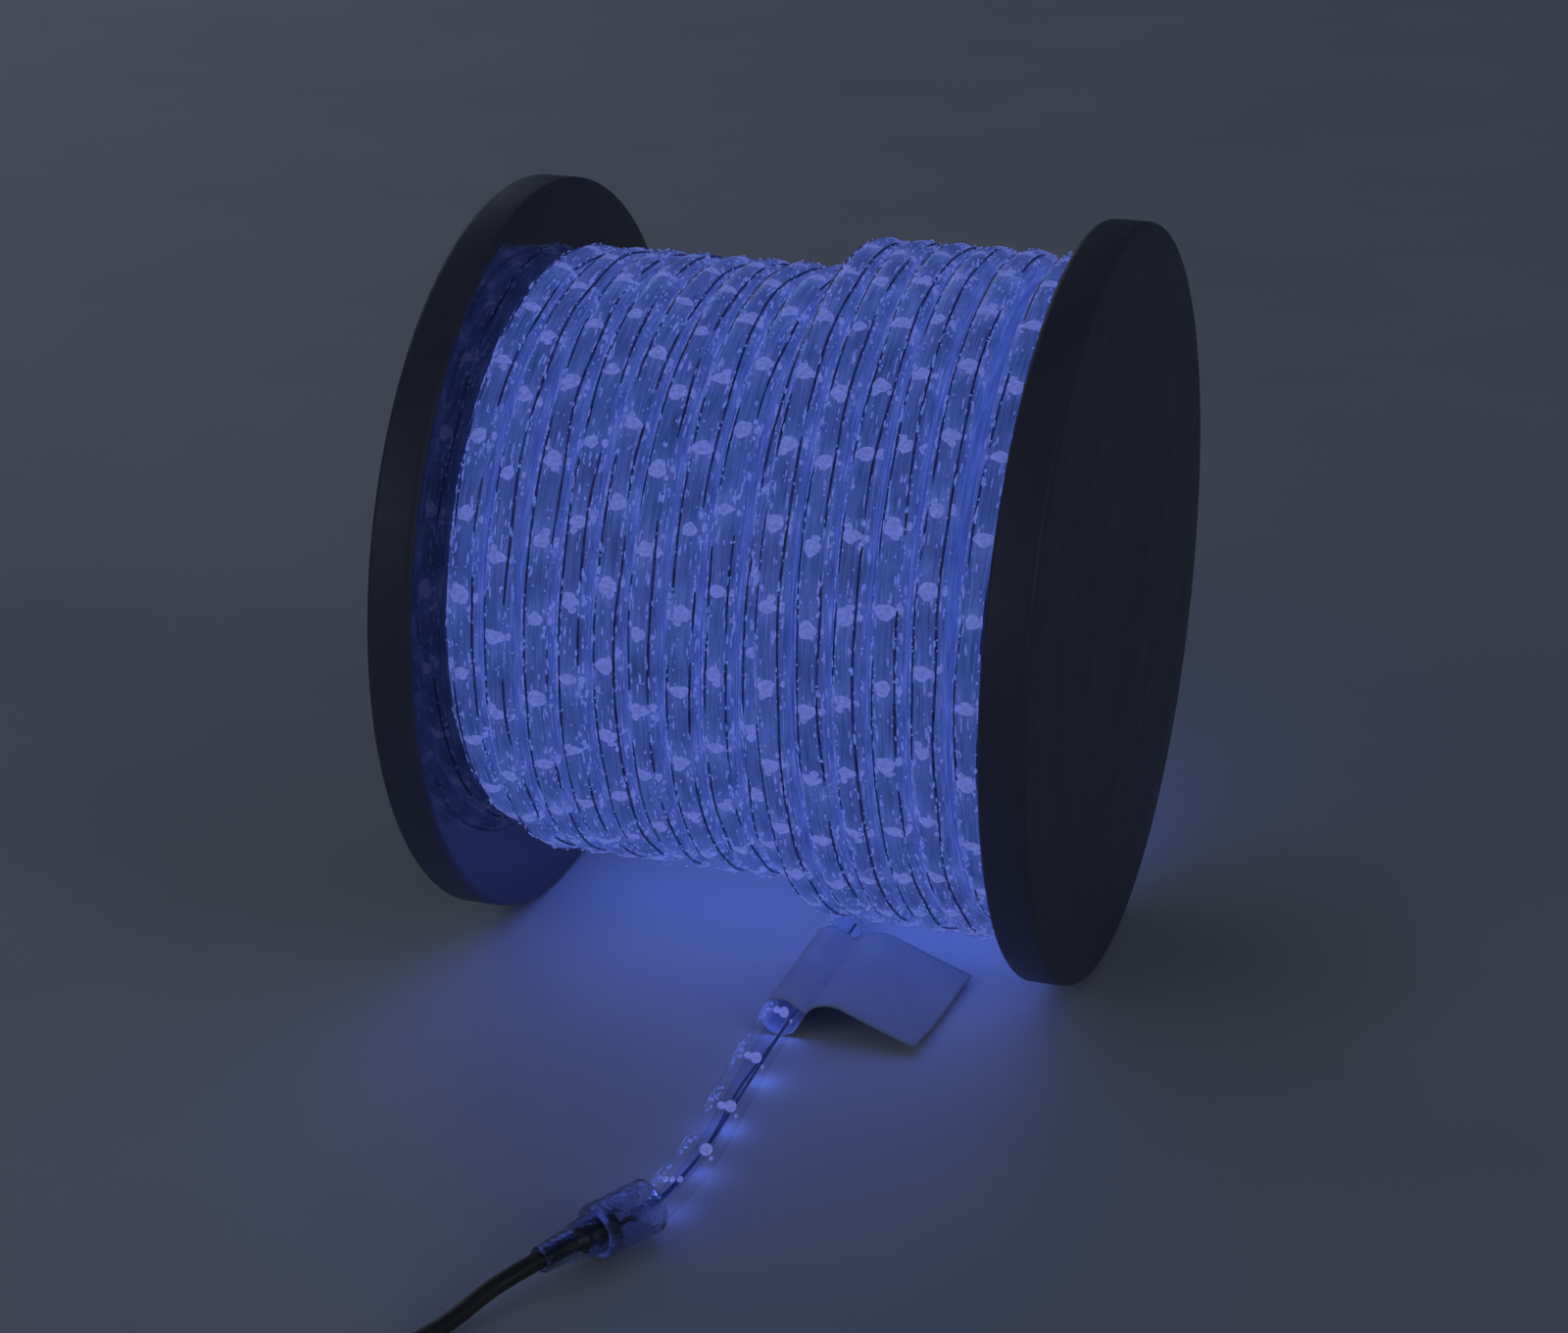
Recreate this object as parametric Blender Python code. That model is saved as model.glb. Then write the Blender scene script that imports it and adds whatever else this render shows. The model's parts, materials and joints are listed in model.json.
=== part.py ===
"""A spool of LED rope light with its loose end, blank tag, power connector and power cord.

Metres, +Z up. The spool stands on the rims of its two flanges on the floor z = 0, its axis runs along X
at Y = 0, and the loose end and the cord lie on the floor towards -Y.
"""
import math

import bmesh
import bpy
from mathutils import Vector

# Clearance between pieces that touch
FIT_GAP = 0.0003
# Height of the lowest free pieces over the floor
FLOOR_GAP = 0.0001

# Rope and how it is wound
ROPE_DIAMETER = 0.0127
TURNS_IN_LAYER = 15
TURNS_IN_TOP_LAYER = 6
TOP_LAYER_GAP = 0.0032
FULL_LAYERS = 6
LAYER_RISE = 0.0107
WINDING_STEPS = 48

# Spool
CORE_DIAMETER = 0.0834
FLANGE_DIAMETER = 0.262
FLANGE_THICKNESS = 0.0158
FLANGE_EDGE_RADIUS = 0.002
FLANGE_STEPS = 64
CORE_STEPS = 32

# Loose end and the blank tag round it
TAIL_SHIFT = -0.0015
TAG_THICKNESS = 0.0004
TAG_WIDTH = 0.060
TAG_REACH = 0.042
TAG_RISE = 0.0079
TAG_BULGE = 0.0115
TAG_TIP_HEIGHT = 0.0024
TAG_SETBACK = 0.017
TAG_RING_STEPS = 24
TAG_FLAG_STEPS = 8

# Connector between the rope's end and the power cord
CONNECTOR_MOUTH_X = 0.0232
CONNECTOR_MOUTH_Y = -0.2326
CONNECTOR_TURN = math.radians(26)
COLLAR_DIAMETER = 0.0178
COLLAR_LENGTH = 0.023
COLLAR_EDGE = 0.001
ROPE_IN_COLLAR = 0.0089
PIN_DIAMETER = 0.0014
PIN_LENGTH = 0.0068
PIN_SPACING = 0.0047
FERRULE_DIAMETER = 0.0084
FERRULE_LENGTH = 0.0141
SLEEVE_IN_COLLAR = 0.0052
SLEEVE_SHOULDER = 0.0073
SLEEVE_LENGTH = 0.0272
SLEEVE_END_DIAMETER = 0.0086
SLEEVE_EDGE = 0.0005
ROUND_STEPS = 24

# Power cord
CORD_DIAMETER = 0.0056
COIL_MEAN_DIAMETER = 0.064
COIL_TURNS_WIDE = 3
COIL_TURNS_HIGH = 3
COIL_X = -0.0314
COIL_Y = -0.3930
COIL_STEPS = 40
COIL_ENTRY_ANGLE = math.radians(120)
COIL_EXIT_ANGLE = math.radians(300)
TIE_ANGLE = math.radians(205)
TIE_WIDTH = 0.004
TIE_THICKNESS = 0.0008

# Plug
PLUG_BACK_X = 0.0314
PLUG_BACK_Y = -0.4030
PLUG_HEADING = math.radians(40)
PLUG_LENGTH = 0.034
PLUG_WIDTH = 0.026
PLUG_THICKNESS = 0.015
PLUG_BACK_WIDTH = 0.015
PLUG_BACK_THICKNESS = 0.011
PLUG_EDGE = 0.0015
BLADE_LENGTH = 0.016
BLADE_HEIGHT = 0.0063
BLADE_THICKNESS = 0.0015
BLADE_SPACING = 0.0127
RELIEF_LENGTH = 0.022
RELIEF_DIAMETER = 0.0095
RELIEF_END_DIAMETER = 0.0074

# Sizes that follow from those above
ROPE_RADIUS = ROPE_DIAMETER / 2
CORD_RADIUS = CORD_DIAMETER / 2
AXIS_HEIGHT = FLANGE_DIAMETER / 2
WINDING_WIDTH = TURNS_IN_LAYER * ROPE_DIAMETER
INNER_WIDTH = WINDING_WIDTH + 2 * FIT_GAP
BORE_RADIUS = CORE_DIAMETER / 2 + FIT_GAP
FULL_CENTRE = BORE_RADIUS + ROPE_RADIUS + (FULL_LAYERS - 1) * LAYER_RISE
TOP_CENTRE = FULL_CENTRE + LAYER_RISE
STEP_X = WINDING_WIDTH / 2 - TURNS_IN_TOP_LAYER * ROPE_DIAMETER - TOP_LAYER_GAP
TAG_RADIUS = ROPE_RADIUS + FIT_GAP + TAG_THICKNESS
TAIL_X = STEP_X + ROPE_RADIUS + TAIL_SHIFT
TAIL_HEIGHT = TAG_RADIUS + 2 * FLOOR_GAP
CONNECTOR_HEIGHT = COLLAR_DIAMETER / 2 + FLOOR_GAP
CONNECTOR_AXIS = Vector((-math.sin(CONNECTOR_TURN), -math.cos(CONNECTOR_TURN), 0.0))
CONNECTOR_MOUTH = Vector((CONNECTOR_MOUTH_X, CONNECTOR_MOUTH_Y, CONNECTOR_HEIGHT))
PIN_START = ROPE_IN_COLLAR + FIT_GAP
FERRULE_START = PIN_START + PIN_LENGTH + FIT_GAP
SLEEVE_START = COLLAR_LENGTH - SLEEVE_IN_COLLAR
CORD_START = FERRULE_START + FERRULE_LENGTH + FIT_GAP
SLEEVE_END = SLEEVE_START + SLEEVE_LENGTH
CORD_REST = CORD_RADIUS + 2 * FLOOR_GAP
COIL_BOTTOM = FLOOR_GAP + TIE_THICKNESS + FIT_GAP
COIL_WIDTH = COIL_TURNS_WIDE * CORD_DIAMETER
COIL_HEIGHT = CORD_DIAMETER * (1 + (COIL_TURNS_HIGH - 1) * math.sqrt(3) / 2)
COIL_OUTER_RADIUS = COIL_MEAN_DIAMETER / 2 + COIL_WIDTH / 2
COIL_INNER_RADIUS = COIL_MEAN_DIAMETER / 2 - COIL_WIDTH / 2
COIL_CENTRE = Vector((COIL_X, COIL_Y, 0.0))
PLUG_AXIS = Vector((math.cos(PLUG_HEADING), math.sin(PLUG_HEADING), 0.0))
PLUG_BACK = Vector((PLUG_BACK_X, PLUG_BACK_Y, PLUG_THICKNESS / 2 + FLOOR_GAP))

# Spacing of a cord's points, in cord diameters, and how far it runs straight out of a fitting
CORD_POINT_SPACING = 2.2
STRAIGHT_OUT = 0.003


def clear_scene():
    for thing in list(bpy.data.objects):
        bpy.data.objects.remove(thing, do_unlink=True)


def material(name, color, roughness, metallic=0.0, alpha=1.0):
    made = bpy.data.materials.new(name)
    made.use_nodes = True
    shader = made.node_tree.nodes["Principled BSDF"]
    shader.inputs["Base Color"].default_value = (*color, 1.0)
    shader.inputs["Roughness"].default_value = roughness
    shader.inputs["Metallic"].default_value = metallic
    shader.inputs["Alpha"].default_value = alpha
    made.diffuse_color = (*color, alpha)
    return made


def flange_plastic():
    return material("flange_plastic", (0.022, 0.021, 0.020), 0.45)


def core_plastic():
    return material("core_plastic", (0.05, 0.05, 0.05), 0.6)


def lit_rope():
    made = material("lit_rope", (0.10, 0.22, 0.90), 0.2, alpha=0.85)
    shader = made.node_tree.nodes["Principled BSDF"]
    shader.inputs["Emission Color"].default_value = (0.05, 0.12, 1.0, 1.0)
    shader.inputs["Emission Strength"].default_value = 0.6
    return made


def tag_vinyl():
    return material("tag_vinyl", (0.82, 0.83, 0.85), 0.4)


def clear_vinyl():
    return material("clear_vinyl", (0.80, 0.85, 0.92), 0.15, alpha=0.45)


def cord_vinyl():
    return material("cord_vinyl", (0.045, 0.038, 0.030), 0.45)


def plug_vinyl():
    return material("plug_vinyl", (0.035, 0.032, 0.028), 0.5)


def tie_plastic():
    return material("tie_plastic", (0.03, 0.03, 0.03), 0.4)


def contact_brass():
    return material("contact_brass", (0.70, 0.52, 0.22), 0.3, metallic=1.0)


def finish(name, bm, surface, smooth=True):
    """Turn a bmesh into a named object with one material."""
    bmesh.ops.recalc_face_normals(bm, faces=bm.faces)
    mesh = bpy.data.meshes.new(name)
    bm.to_mesh(mesh)
    bm.free()
    mesh.materials.append(surface)
    if smooth:
        mesh.shade_smooth()
        mesh.set_sharp_from_angle(angle=math.radians(35))
    made = bpy.data.objects.new(name, mesh)
    bpy.context.collection.objects.link(made)
    return made


def lay_along(made, place, direction):
    """Put an object's local Z along a direction."""
    made.location = place
    made.rotation_euler = direction.to_track_quat("Z", "Y").to_euler()


def turned(name, profile, steps, surface, ring=False):
    """Turn a profile of (radius, height) points about local Z. A ring's profile closes on itself."""
    bm = bmesh.new()
    half_step = math.pi / steps
    start = Vector((math.cos(half_step), math.sin(half_step), 0.0))
    verts = [bm.verts.new(start * radius + Vector((0.0, 0.0, height))) for radius, height in profile]
    edges = [bm.edges.new(pair) for pair in zip(verts, verts[1:])]
    if ring:
        edges.append(bm.edges.new((verts[-1], verts[0])))
    bmesh.ops.spin(
        bm, geom=verts + edges, cent=(0, 0, 0), axis=(0, 0, 1), angle=2 * math.pi, steps=steps, use_merge=True
    )
    bmesh.ops.remove_doubles(bm, verts=bm.verts, dist=1e-6)
    return finish(name, bm, surface)


def smooth_points(knots, spacing):
    """Read evenly spaced points from a smooth curve through all knots but the first and the last."""
    dense = []
    for before, first, second, after in zip(knots, knots[1:], knots[2:], knots[3:]):
        for part in range(24):
            t = part / 24
            dense.append(0.5 * (
                2 * first
                + (second - before) * t
                + (2 * before - 5 * first + 4 * second - after) * t**2
                + (3 * first - before - 3 * second + after) * t**3
            ))
    dense.append(knots[-2])
    travel = [0.0]
    for first, second in zip(dense, dense[1:]):
        travel.append(travel[-1] + (second - first).length)
    count = max(2, math.ceil(travel[-1] / spacing))
    points = []
    at = 0
    for index in range(count + 1):
        wanted = travel[-1] * index / count
        while at < len(dense) - 2 and travel[at + 1] < wanted:
            at += 1
        share = (wanted - travel[at]) / (travel[at + 1] - travel[at])
        points.append(dense[at].lerp(dense[at + 1], share))
    return points


def tube(name, route, diameter, resolution, surface, lead_in=None, lead_out=None):
    """A cord's free stretch: a round tube on a smooth curve, with a straight run into a fitting at an end."""
    before = lead_in or 2 * route[0] - route[1]
    after = lead_out or 2 * route[-1] - route[-2]
    points = smooth_points([before, *route, after], CORD_POINT_SPACING * diameter)
    if lead_in:
        points.insert(0, lead_in)
    if lead_out:
        points.append(lead_out)
    curve = bpy.data.curves.new(name, "CURVE")
    curve.dimensions = "3D"
    curve.bevel_depth = diameter / 2
    curve.bevel_resolution = resolution
    curve.use_fill_caps = True
    spline = curve.splines.new("POLY")
    spline.points.add(len(points) - 1)
    for slot, point in zip(spline.points, points):
        slot.co = (*point, 1.0)
    curve.materials.append(surface)
    made = bpy.data.objects.new(name, curve)
    bpy.context.collection.objects.link(made)
    return made


def box(name, size, surface, edge=0.0):
    """A box centred on its local origin, with bevelled edges."""
    bm = bmesh.new()
    bmesh.ops.create_cube(bm, size=1.0)
    bmesh.ops.scale(bm, vec=size, verts=bm.verts)
    if edge:
        bmesh.ops.bevel(bm, geom=bm.edges, offset=edge, segments=2, profile=0.5, affect="EDGES")
    return finish(name, bm, surface)


def make_flange(name, side):
    """One end disc. Its polygon has the true diameter across its flats and stands on one of them."""
    across_corners = FLANGE_DIAMETER / 2 / math.cos(math.pi / FLANGE_STEPS)
    half = FLANGE_THICKNESS / 2
    edge = FLANGE_EDGE_RADIUS
    profile = [(0.0, half)]
    for turn in (90, 45, 0):
        angle = math.radians(turn)
        profile.append((
            across_corners - edge + edge * math.cos(angle),
            half - edge + edge * math.sin(angle),
        ))
    profile += [(radius, -height) for radius, height in reversed(profile)]
    made = turned(name, profile, FLANGE_STEPS, flange_plastic())
    place = Vector((side * (INNER_WIDTH / 2 + half), 0.0, AXIS_HEIGHT))
    lay_along(made, place, Vector((1.0, 0.0, 0.0)))


def make_core():
    half = INNER_WIDTH / 2 - FIT_GAP
    radius = CORE_DIAMETER / 2
    profile = [(0.0, half), (radius, half), (radius, -half), (0.0, -half)]
    made = turned("spool_core", profile, CORE_STEPS, core_plastic())
    lay_along(made, Vector((0.0, 0.0, AXIS_HEIGHT)), Vector((1.0, 0.0, 0.0)))


def winding_ridge(across, centre):
    """The outside of one turn, from its right to its left, as (radius, height) points."""
    points = []
    for turn in (40, 90, 140):
        angle = math.radians(turn)
        points.append((centre + ROPE_RADIUS * math.sin(angle), across + ROPE_RADIUS * math.cos(angle)))
    return points


def make_winding():
    """All the wound rope as one turned solid: a bore, a ridge for each outer turn, and the part layer."""
    half = WINDING_WIDTH / 2
    valley = ROPE_RADIUS * math.sin(math.radians(20))
    shoulder = ROPE_RADIUS * math.sin(math.radians(40))
    profile = [(TOP_CENTRE, half), *winding_ridge(half - ROPE_RADIUS, TOP_CENTRE)]
    profile.append((TOP_CENTRE + valley, half - ROPE_DIAMETER))
    for index in range(1, TURNS_IN_TOP_LAYER):
        right = half - index * ROPE_DIAMETER - TOP_LAYER_GAP
        profile.append((TOP_CENTRE + valley, right))
        profile += winding_ridge(right - ROPE_RADIUS, TOP_CENTRE)
    profile += [(TOP_CENTRE, STEP_X), (FULL_CENTRE + shoulder, STEP_X)]
    for index in range(TURNS_IN_LAYER):
        right = half - index * ROPE_DIAMETER
        turn = [(FULL_CENTRE + valley, right), *winding_ridge(right - ROPE_RADIUS, FULL_CENTRE)]
        profile += [(radius, across) for radius, across in turn if across < STEP_X - FIT_GAP]
    profile.append((FULL_CENTRE, -half))
    profile.append((BORE_RADIUS / math.cos(math.pi / WINDING_STEPS), -half))
    profile.append((BORE_RADIUS / math.cos(math.pi / WINDING_STEPS), half))
    made = turned("rope_winding", profile, WINDING_STEPS, lit_rope(), ring=True)
    lay_along(made, Vector((0.0, 0.0, AXIS_HEIGHT)), Vector((1.0, 0.0, 0.0)))


def tail_start_y():
    """Where the loose end, lying on the floor, comes clear of the winding's underside."""
    reach = TOP_CENTRE + 2 * ROPE_RADIUS + FIT_GAP
    return -math.sqrt(max(0.0, reach**2 - (AXIS_HEIGHT - TAIL_HEIGHT) ** 2))


def tail_route():
    """The loose end: straight through the tag, along the floor and bent towards the connector."""
    return [
        Vector((TAIL_X, tail_start_y(), TAIL_HEIGHT)),
        Vector((TAIL_X, -0.050, TAIL_HEIGHT)),
        Vector((TAIL_X, -0.078, TAIL_HEIGHT)),
        Vector((TAIL_X, -0.106, TAIL_HEIGHT)),
        Vector((0.0217, -0.134, 0.0069)),
        Vector((0.0237, -0.162, 0.0067)),
        Vector((0.0256, -0.188, 0.0071)),
        Vector((0.0261, -0.212, 0.0083)),
        on_connector(-STRAIGHT_OUT),
    ]


def make_tail():
    lead_out = on_connector(ROPE_IN_COLLAR)
    tube("rope_tail", tail_route(), ROPE_DIAMETER, 4, lit_rope(), lead_out=lead_out)


def tag_flag_line():
    """The middle line of the flag: out of the ring, up over a fold and down to its tip."""
    middle = TAG_RADIUS - TAG_THICKNESS / 2
    root = Vector((TAIL_X + middle, TAIL_HEIGHT))
    tip = Vector((root.x + TAG_REACH, TAG_TIP_HEIGHT))
    controls = [root, root + Vector((0.001, TAG_RISE)), root + Vector((TAG_BULGE, TAG_RISE)), tip]
    line = []
    for index in range(1, TAG_FLAG_STEPS + 1):
        t = index / TAG_FLAG_STEPS
        weights = ((1 - t) ** 3, 3 * t * (1 - t) ** 2, 3 * t**2 * (1 - t), t**3)
        line.append(sum((control * weight for control, weight in zip(controls, weights)), Vector((0.0, 0.0))))
    return root, line


def make_tag():
    """A strip stuck round the loose end, its two ends stuck together as a flag."""
    bm = bmesh.new()
    start = tail_start_y() - TAG_SETBACK

    def corner(across, height):
        return bm.verts.new((across, start, height))

    # The flag grows out of the ring's first outer step, which is as wide as the flag is thick.
    root_angle = TAG_THICKNESS / TAG_RADIUS
    angles = [-root_angle / 2 + (2 * math.pi - root_angle) * i / TAG_RING_STEPS for i in range(TAG_RING_STEPS)]
    angles = [angle + root_angle for angle in angles]
    angles.append(2 * math.pi - root_angle / 2)
    inner_radius = TAG_RADIUS - TAG_THICKNESS
    outer = [corner(TAIL_X + TAG_RADIUS * math.cos(a), TAIL_HEIGHT + TAG_RADIUS * math.sin(a)) for a in angles]
    inner = [corner(TAIL_X + inner_radius * math.cos(a), TAIL_HEIGHT + inner_radius * math.sin(a)) for a in angles]
    for index in range(len(angles)):
        following = (index + 1) % len(angles)
        bm.faces.new((outer[index], outer[following], inner[following], inner[index]))
    root, line = tag_flag_line()
    upper, lower = outer[0], outer[-1]
    before = root
    for index, point in enumerate(line):
        after = line[min(index + 1, len(line) - 1)]
        direction = (after - before).normalized()
        normal = Vector((-direction.y, direction.x)) * TAG_THICKNESS / 2
        next_upper = corner(*(point + normal))
        next_lower = corner(*(point - normal))
        bm.faces.new((upper, lower, next_lower, next_upper))
        upper, lower = next_upper, next_lower
        before = point
    section = bmesh.ops.extrude_face_region(bm, geom=bm.faces[:], use_keep_orig=True)
    moved = [item for item in section["geom"] if isinstance(item, bmesh.types.BMVert)]
    bmesh.ops.translate(bm, vec=(0.0, -TAG_WIDTH, 0.0), verts=moved)
    finish("blank_tag", bm, tag_vinyl())


def on_connector(distance):
    return CONNECTOR_MOUTH + CONNECTOR_AXIS * distance


def make_collar():
    """The clear collar over the rope's end and the sleeve's end."""
    outer = COLLAR_DIAMETER / 2
    bore = (ROPE_RADIUS + FIT_GAP) / math.cos(math.pi / ROUND_STEPS)
    profile = [
        (outer - COLLAR_EDGE, COLLAR_LENGTH),
        (outer, COLLAR_LENGTH - COLLAR_EDGE),
        (outer, COLLAR_EDGE),
        (outer - COLLAR_EDGE, 0.0),
        (bore, 0.0),
        (bore, COLLAR_LENGTH),
    ]
    made = turned("connector_collar", profile, ROUND_STEPS, clear_vinyl(), ring=True)
    lay_along(made, on_connector(0.0), CONNECTOR_AXIS)


def make_contact_pins():
    """Two pins that carry the current from the cord's end into the rope's wires."""
    across = Vector((0.0, 0.0, 1.0)).cross(CONNECTOR_AXIS)
    radius = PIN_DIAMETER / 2
    for number, side in ((1, -1), (2, 1)):
        profile = [(0.0, PIN_LENGTH), (radius, PIN_LENGTH), (radius, 0.0), (0.0, 0.0)]
        made = turned(f"contact_pin_{number}", profile, 10, contact_brass())
        lay_along(made, on_connector(PIN_START) + across * side * PIN_SPACING / 2, CONNECTOR_AXIS)


def make_ferrule():
    """The moulded end of the power cord, inside the sleeve."""
    radius = FERRULE_DIAMETER / 2
    edge = COLLAR_EDGE
    profile = [
        (0.0, FERRULE_LENGTH),
        (radius, FERRULE_LENGTH),
        (radius, edge),
        (radius - edge, 0.0),
        (0.0, 0.0),
    ]
    made = turned("cord_ferrule", profile, ROUND_STEPS, cord_vinyl())
    lay_along(made, on_connector(FERRULE_START), CONNECTOR_AXIS)


def make_sleeve():
    """The clear shrunk sleeve: snug in the collar, round the ferrule and down onto the cord."""
    flats = math.cos(math.pi / ROUND_STEPS)
    wide = ROPE_RADIUS
    end = SLEEVE_END_DIAMETER / 2
    ferrule_bore = (FERRULE_DIAMETER / 2 + FIT_GAP) / flats
    cord_bore = (CORD_RADIUS + FIT_GAP) / flats
    ferrule_end = FERRULE_START + FERRULE_LENGTH - SLEEVE_START + FIT_GAP / 2
    profile = [
        (end - SLEEVE_EDGE, SLEEVE_LENGTH),
        (end, SLEEVE_LENGTH - SLEEVE_EDGE),
        (wide, SLEEVE_SHOULDER),
        (wide, 0.0),
        (ferrule_bore, 0.0),
        (ferrule_bore, ferrule_end),
        (cord_bore, ferrule_end),
        (cord_bore, SLEEVE_LENGTH),
    ]
    made = turned("shrink_sleeve", profile, ROUND_STEPS, clear_vinyl(), ring=True)
    lay_along(made, on_connector(SLEEVE_START), CONNECTOR_AXIS)


def on_coil(angle, radius, height):
    return COIL_CENTRE + Vector((radius * math.cos(angle), radius * math.sin(angle), height))


def lead_route():
    """The cord from the sleeve's end, down to the floor and up to the side of its coil."""
    beside = COIL_OUTER_RADIUS + FIT_GAP + CORD_RADIUS
    return [
        on_connector(SLEEVE_END + STRAIGHT_OUT),
        Vector((-0.0054, -0.2895, 0.0069)),
        Vector((-0.0103, -0.3016, 0.0045)),
        Vector((-0.0159, -0.3144, 0.0033)),
        Vector((-0.0239, -0.3280, CORD_REST)),
        Vector((-0.0356, -0.3416, 0.0034)),
        on_coil(COIL_ENTRY_ANGLE, beside, COIL_BOTTOM + CORD_RADIUS),
    ]


def plug_route():
    """The cord from its coil to the plug's strain relief."""
    beside = COIL_OUTER_RADIUS + FIT_GAP + CORD_RADIUS
    return [
        on_coil(COIL_EXIT_ANGLE, beside, COIL_BOTTOM + CORD_RADIUS),
        Vector((-0.0010, -0.4263, 0.0048)),
        PLUG_BACK - PLUG_AXIS * (RELIEF_LENGTH + STRAIGHT_OUT),
    ]


def make_power_cord():
    lead_in = on_connector(CORD_START)
    lead_out = PLUG_BACK - PLUG_AXIS * FIT_GAP
    tube("power_cord", lead_route(), CORD_DIAMETER, 2, cord_vinyl(), lead_in=lead_in)
    tube("plug_cord", plug_route(), CORD_DIAMETER, 2, cord_vinyl(), lead_out=lead_out)


def make_cord_coil():
    """The cord's stored turns as one ring of their outer shape."""
    low = COIL_BOTTOM
    high = COIL_BOTTOM + COIL_HEIGHT
    cut = CORD_RADIUS
    profile = [
        (COIL_OUTER_RADIUS - cut, high),
        (COIL_OUTER_RADIUS, high - cut),
        (COIL_OUTER_RADIUS, low + cut),
        (COIL_OUTER_RADIUS - cut, low),
        (COIL_INNER_RADIUS + cut, low),
        (COIL_INNER_RADIUS, low + cut),
        (COIL_INNER_RADIUS, high - cut),
        (COIL_INNER_RADIUS + cut, high),
    ]
    made = turned("cord_coil", profile, COIL_STEPS, cord_vinyl(), ring=True)
    made.location = COIL_CENTRE


def make_coil_tie():
    """A flat band round the coil's bundle of turns."""
    bm = bmesh.new()
    gap = FIT_GAP
    thick = TIE_THICKNESS
    half_width = COIL_WIDTH / 2 + gap
    half_height = COIL_HEIGHT / 2 + gap
    cut = CORD_RADIUS

    def loop(grow):
        across, up = half_width + grow, half_height + grow
        corner = cut + grow * 0.4
        points = [
            (across - corner, up), (across, up - corner), (across, corner - up), (across - corner, -up),
            (corner - across, -up), (-across, corner - up), (-across, up - corner), (corner - across, up),
        ]
        return [bm.verts.new((x, -TIE_WIDTH / 2, z)) for x, z in points]

    inner = loop(0.0)
    outer = loop(thick)
    for index in range(len(inner)):
        following = (index + 1) % len(inner)
        bm.faces.new((outer[index], outer[following], inner[following], inner[index]))
    section = bmesh.ops.extrude_face_region(bm, geom=bm.faces[:], use_keep_orig=True)
    moved = [item for item in section["geom"] if isinstance(item, bmesh.types.BMVert)]
    bmesh.ops.translate(bm, vec=(0.0, TIE_WIDTH, 0.0), verts=moved)
    made = finish("coil_tie", bm, tie_plastic())
    made.location = on_coil(TIE_ANGLE, COIL_MEAN_DIAMETER / 2, COIL_BOTTOM + COIL_HEIGHT / 2)
    made.rotation_euler = (0.0, 0.0, TIE_ANGLE)


def make_plug_body():
    """The plug's moulded body, narrower at its cord end. Local X runs to the blades."""
    bm = bmesh.new()
    bmesh.ops.create_cube(bm, size=1.0)
    for vert in bm.verts:
        front = vert.co.x > 0
        width = PLUG_WIDTH if front else PLUG_BACK_WIDTH
        thickness = PLUG_THICKNESS if front else PLUG_BACK_THICKNESS
        vert.co.x = PLUG_LENGTH if front else 0.0
        vert.co.y *= width
        vert.co.z *= thickness
    bmesh.ops.bevel(bm, geom=bm.edges, offset=PLUG_EDGE, segments=2, profile=0.5, affect="EDGES")
    made = finish("plug_body", bm, plug_vinyl())
    made.location = PLUG_BACK
    made.rotation_euler = (0.0, 0.0, PLUG_HEADING)


def make_plug_blades():
    across = Vector((-PLUG_AXIS.y, PLUG_AXIS.x, 0.0))
    middle = PLUG_BACK + PLUG_AXIS * (PLUG_LENGTH + FIT_GAP + BLADE_LENGTH / 2)
    for number, side in ((1, -1), (2, 1)):
        size = (BLADE_LENGTH, BLADE_THICKNESS, BLADE_HEIGHT)
        made = box(f"plug_blade_{number}", size, contact_brass(), edge=BLADE_THICKNESS / 5)
        made.location = middle + across * side * BLADE_SPACING / 2
        made.rotation_euler = (0.0, 0.0, PLUG_HEADING)


def make_strain_relief():
    """The tapered sleeve behind the plug, with the cord through it."""
    bore = (CORD_RADIUS + FIT_GAP) / math.cos(math.pi / ROUND_STEPS)
    profile = [
        (RELIEF_DIAMETER / 2, RELIEF_LENGTH),
        (RELIEF_END_DIAMETER / 2, 0.0),
        (bore, 0.0),
        (bore, RELIEF_LENGTH),
    ]
    made = turned("plug_strain_relief", profile, ROUND_STEPS, plug_vinyl(), ring=True)
    start = PLUG_BACK - PLUG_AXIS * (RELIEF_LENGTH + FIT_GAP)
    lay_along(made, start, PLUG_AXIS)


def main():
    clear_scene()
    make_flange("left_flange", -1)
    make_flange("right_flange", 1)
    make_core()
    make_winding()
    make_tail()
    make_tag()
    make_collar()
    make_contact_pins()
    make_ferrule()
    make_sleeve()
    make_power_cord()
    make_cord_coil()
    make_coil_tie()
    make_plug_body()
    make_plug_blades()
    make_strain_relief()


main()
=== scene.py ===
"""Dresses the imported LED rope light: the wound rope with its wires and lamps, the spool, the loose end with
its blank tag, the connector, and the power cord with its plug. Metres, in the row's frame: the spool's axis
runs along X at Y = 0, -Y is the front, +Z is up and the floor is z = 0.
"""
import bisect
import functools
import json
import math
import random

import bmesh
import bpy
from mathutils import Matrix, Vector, noise

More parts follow.
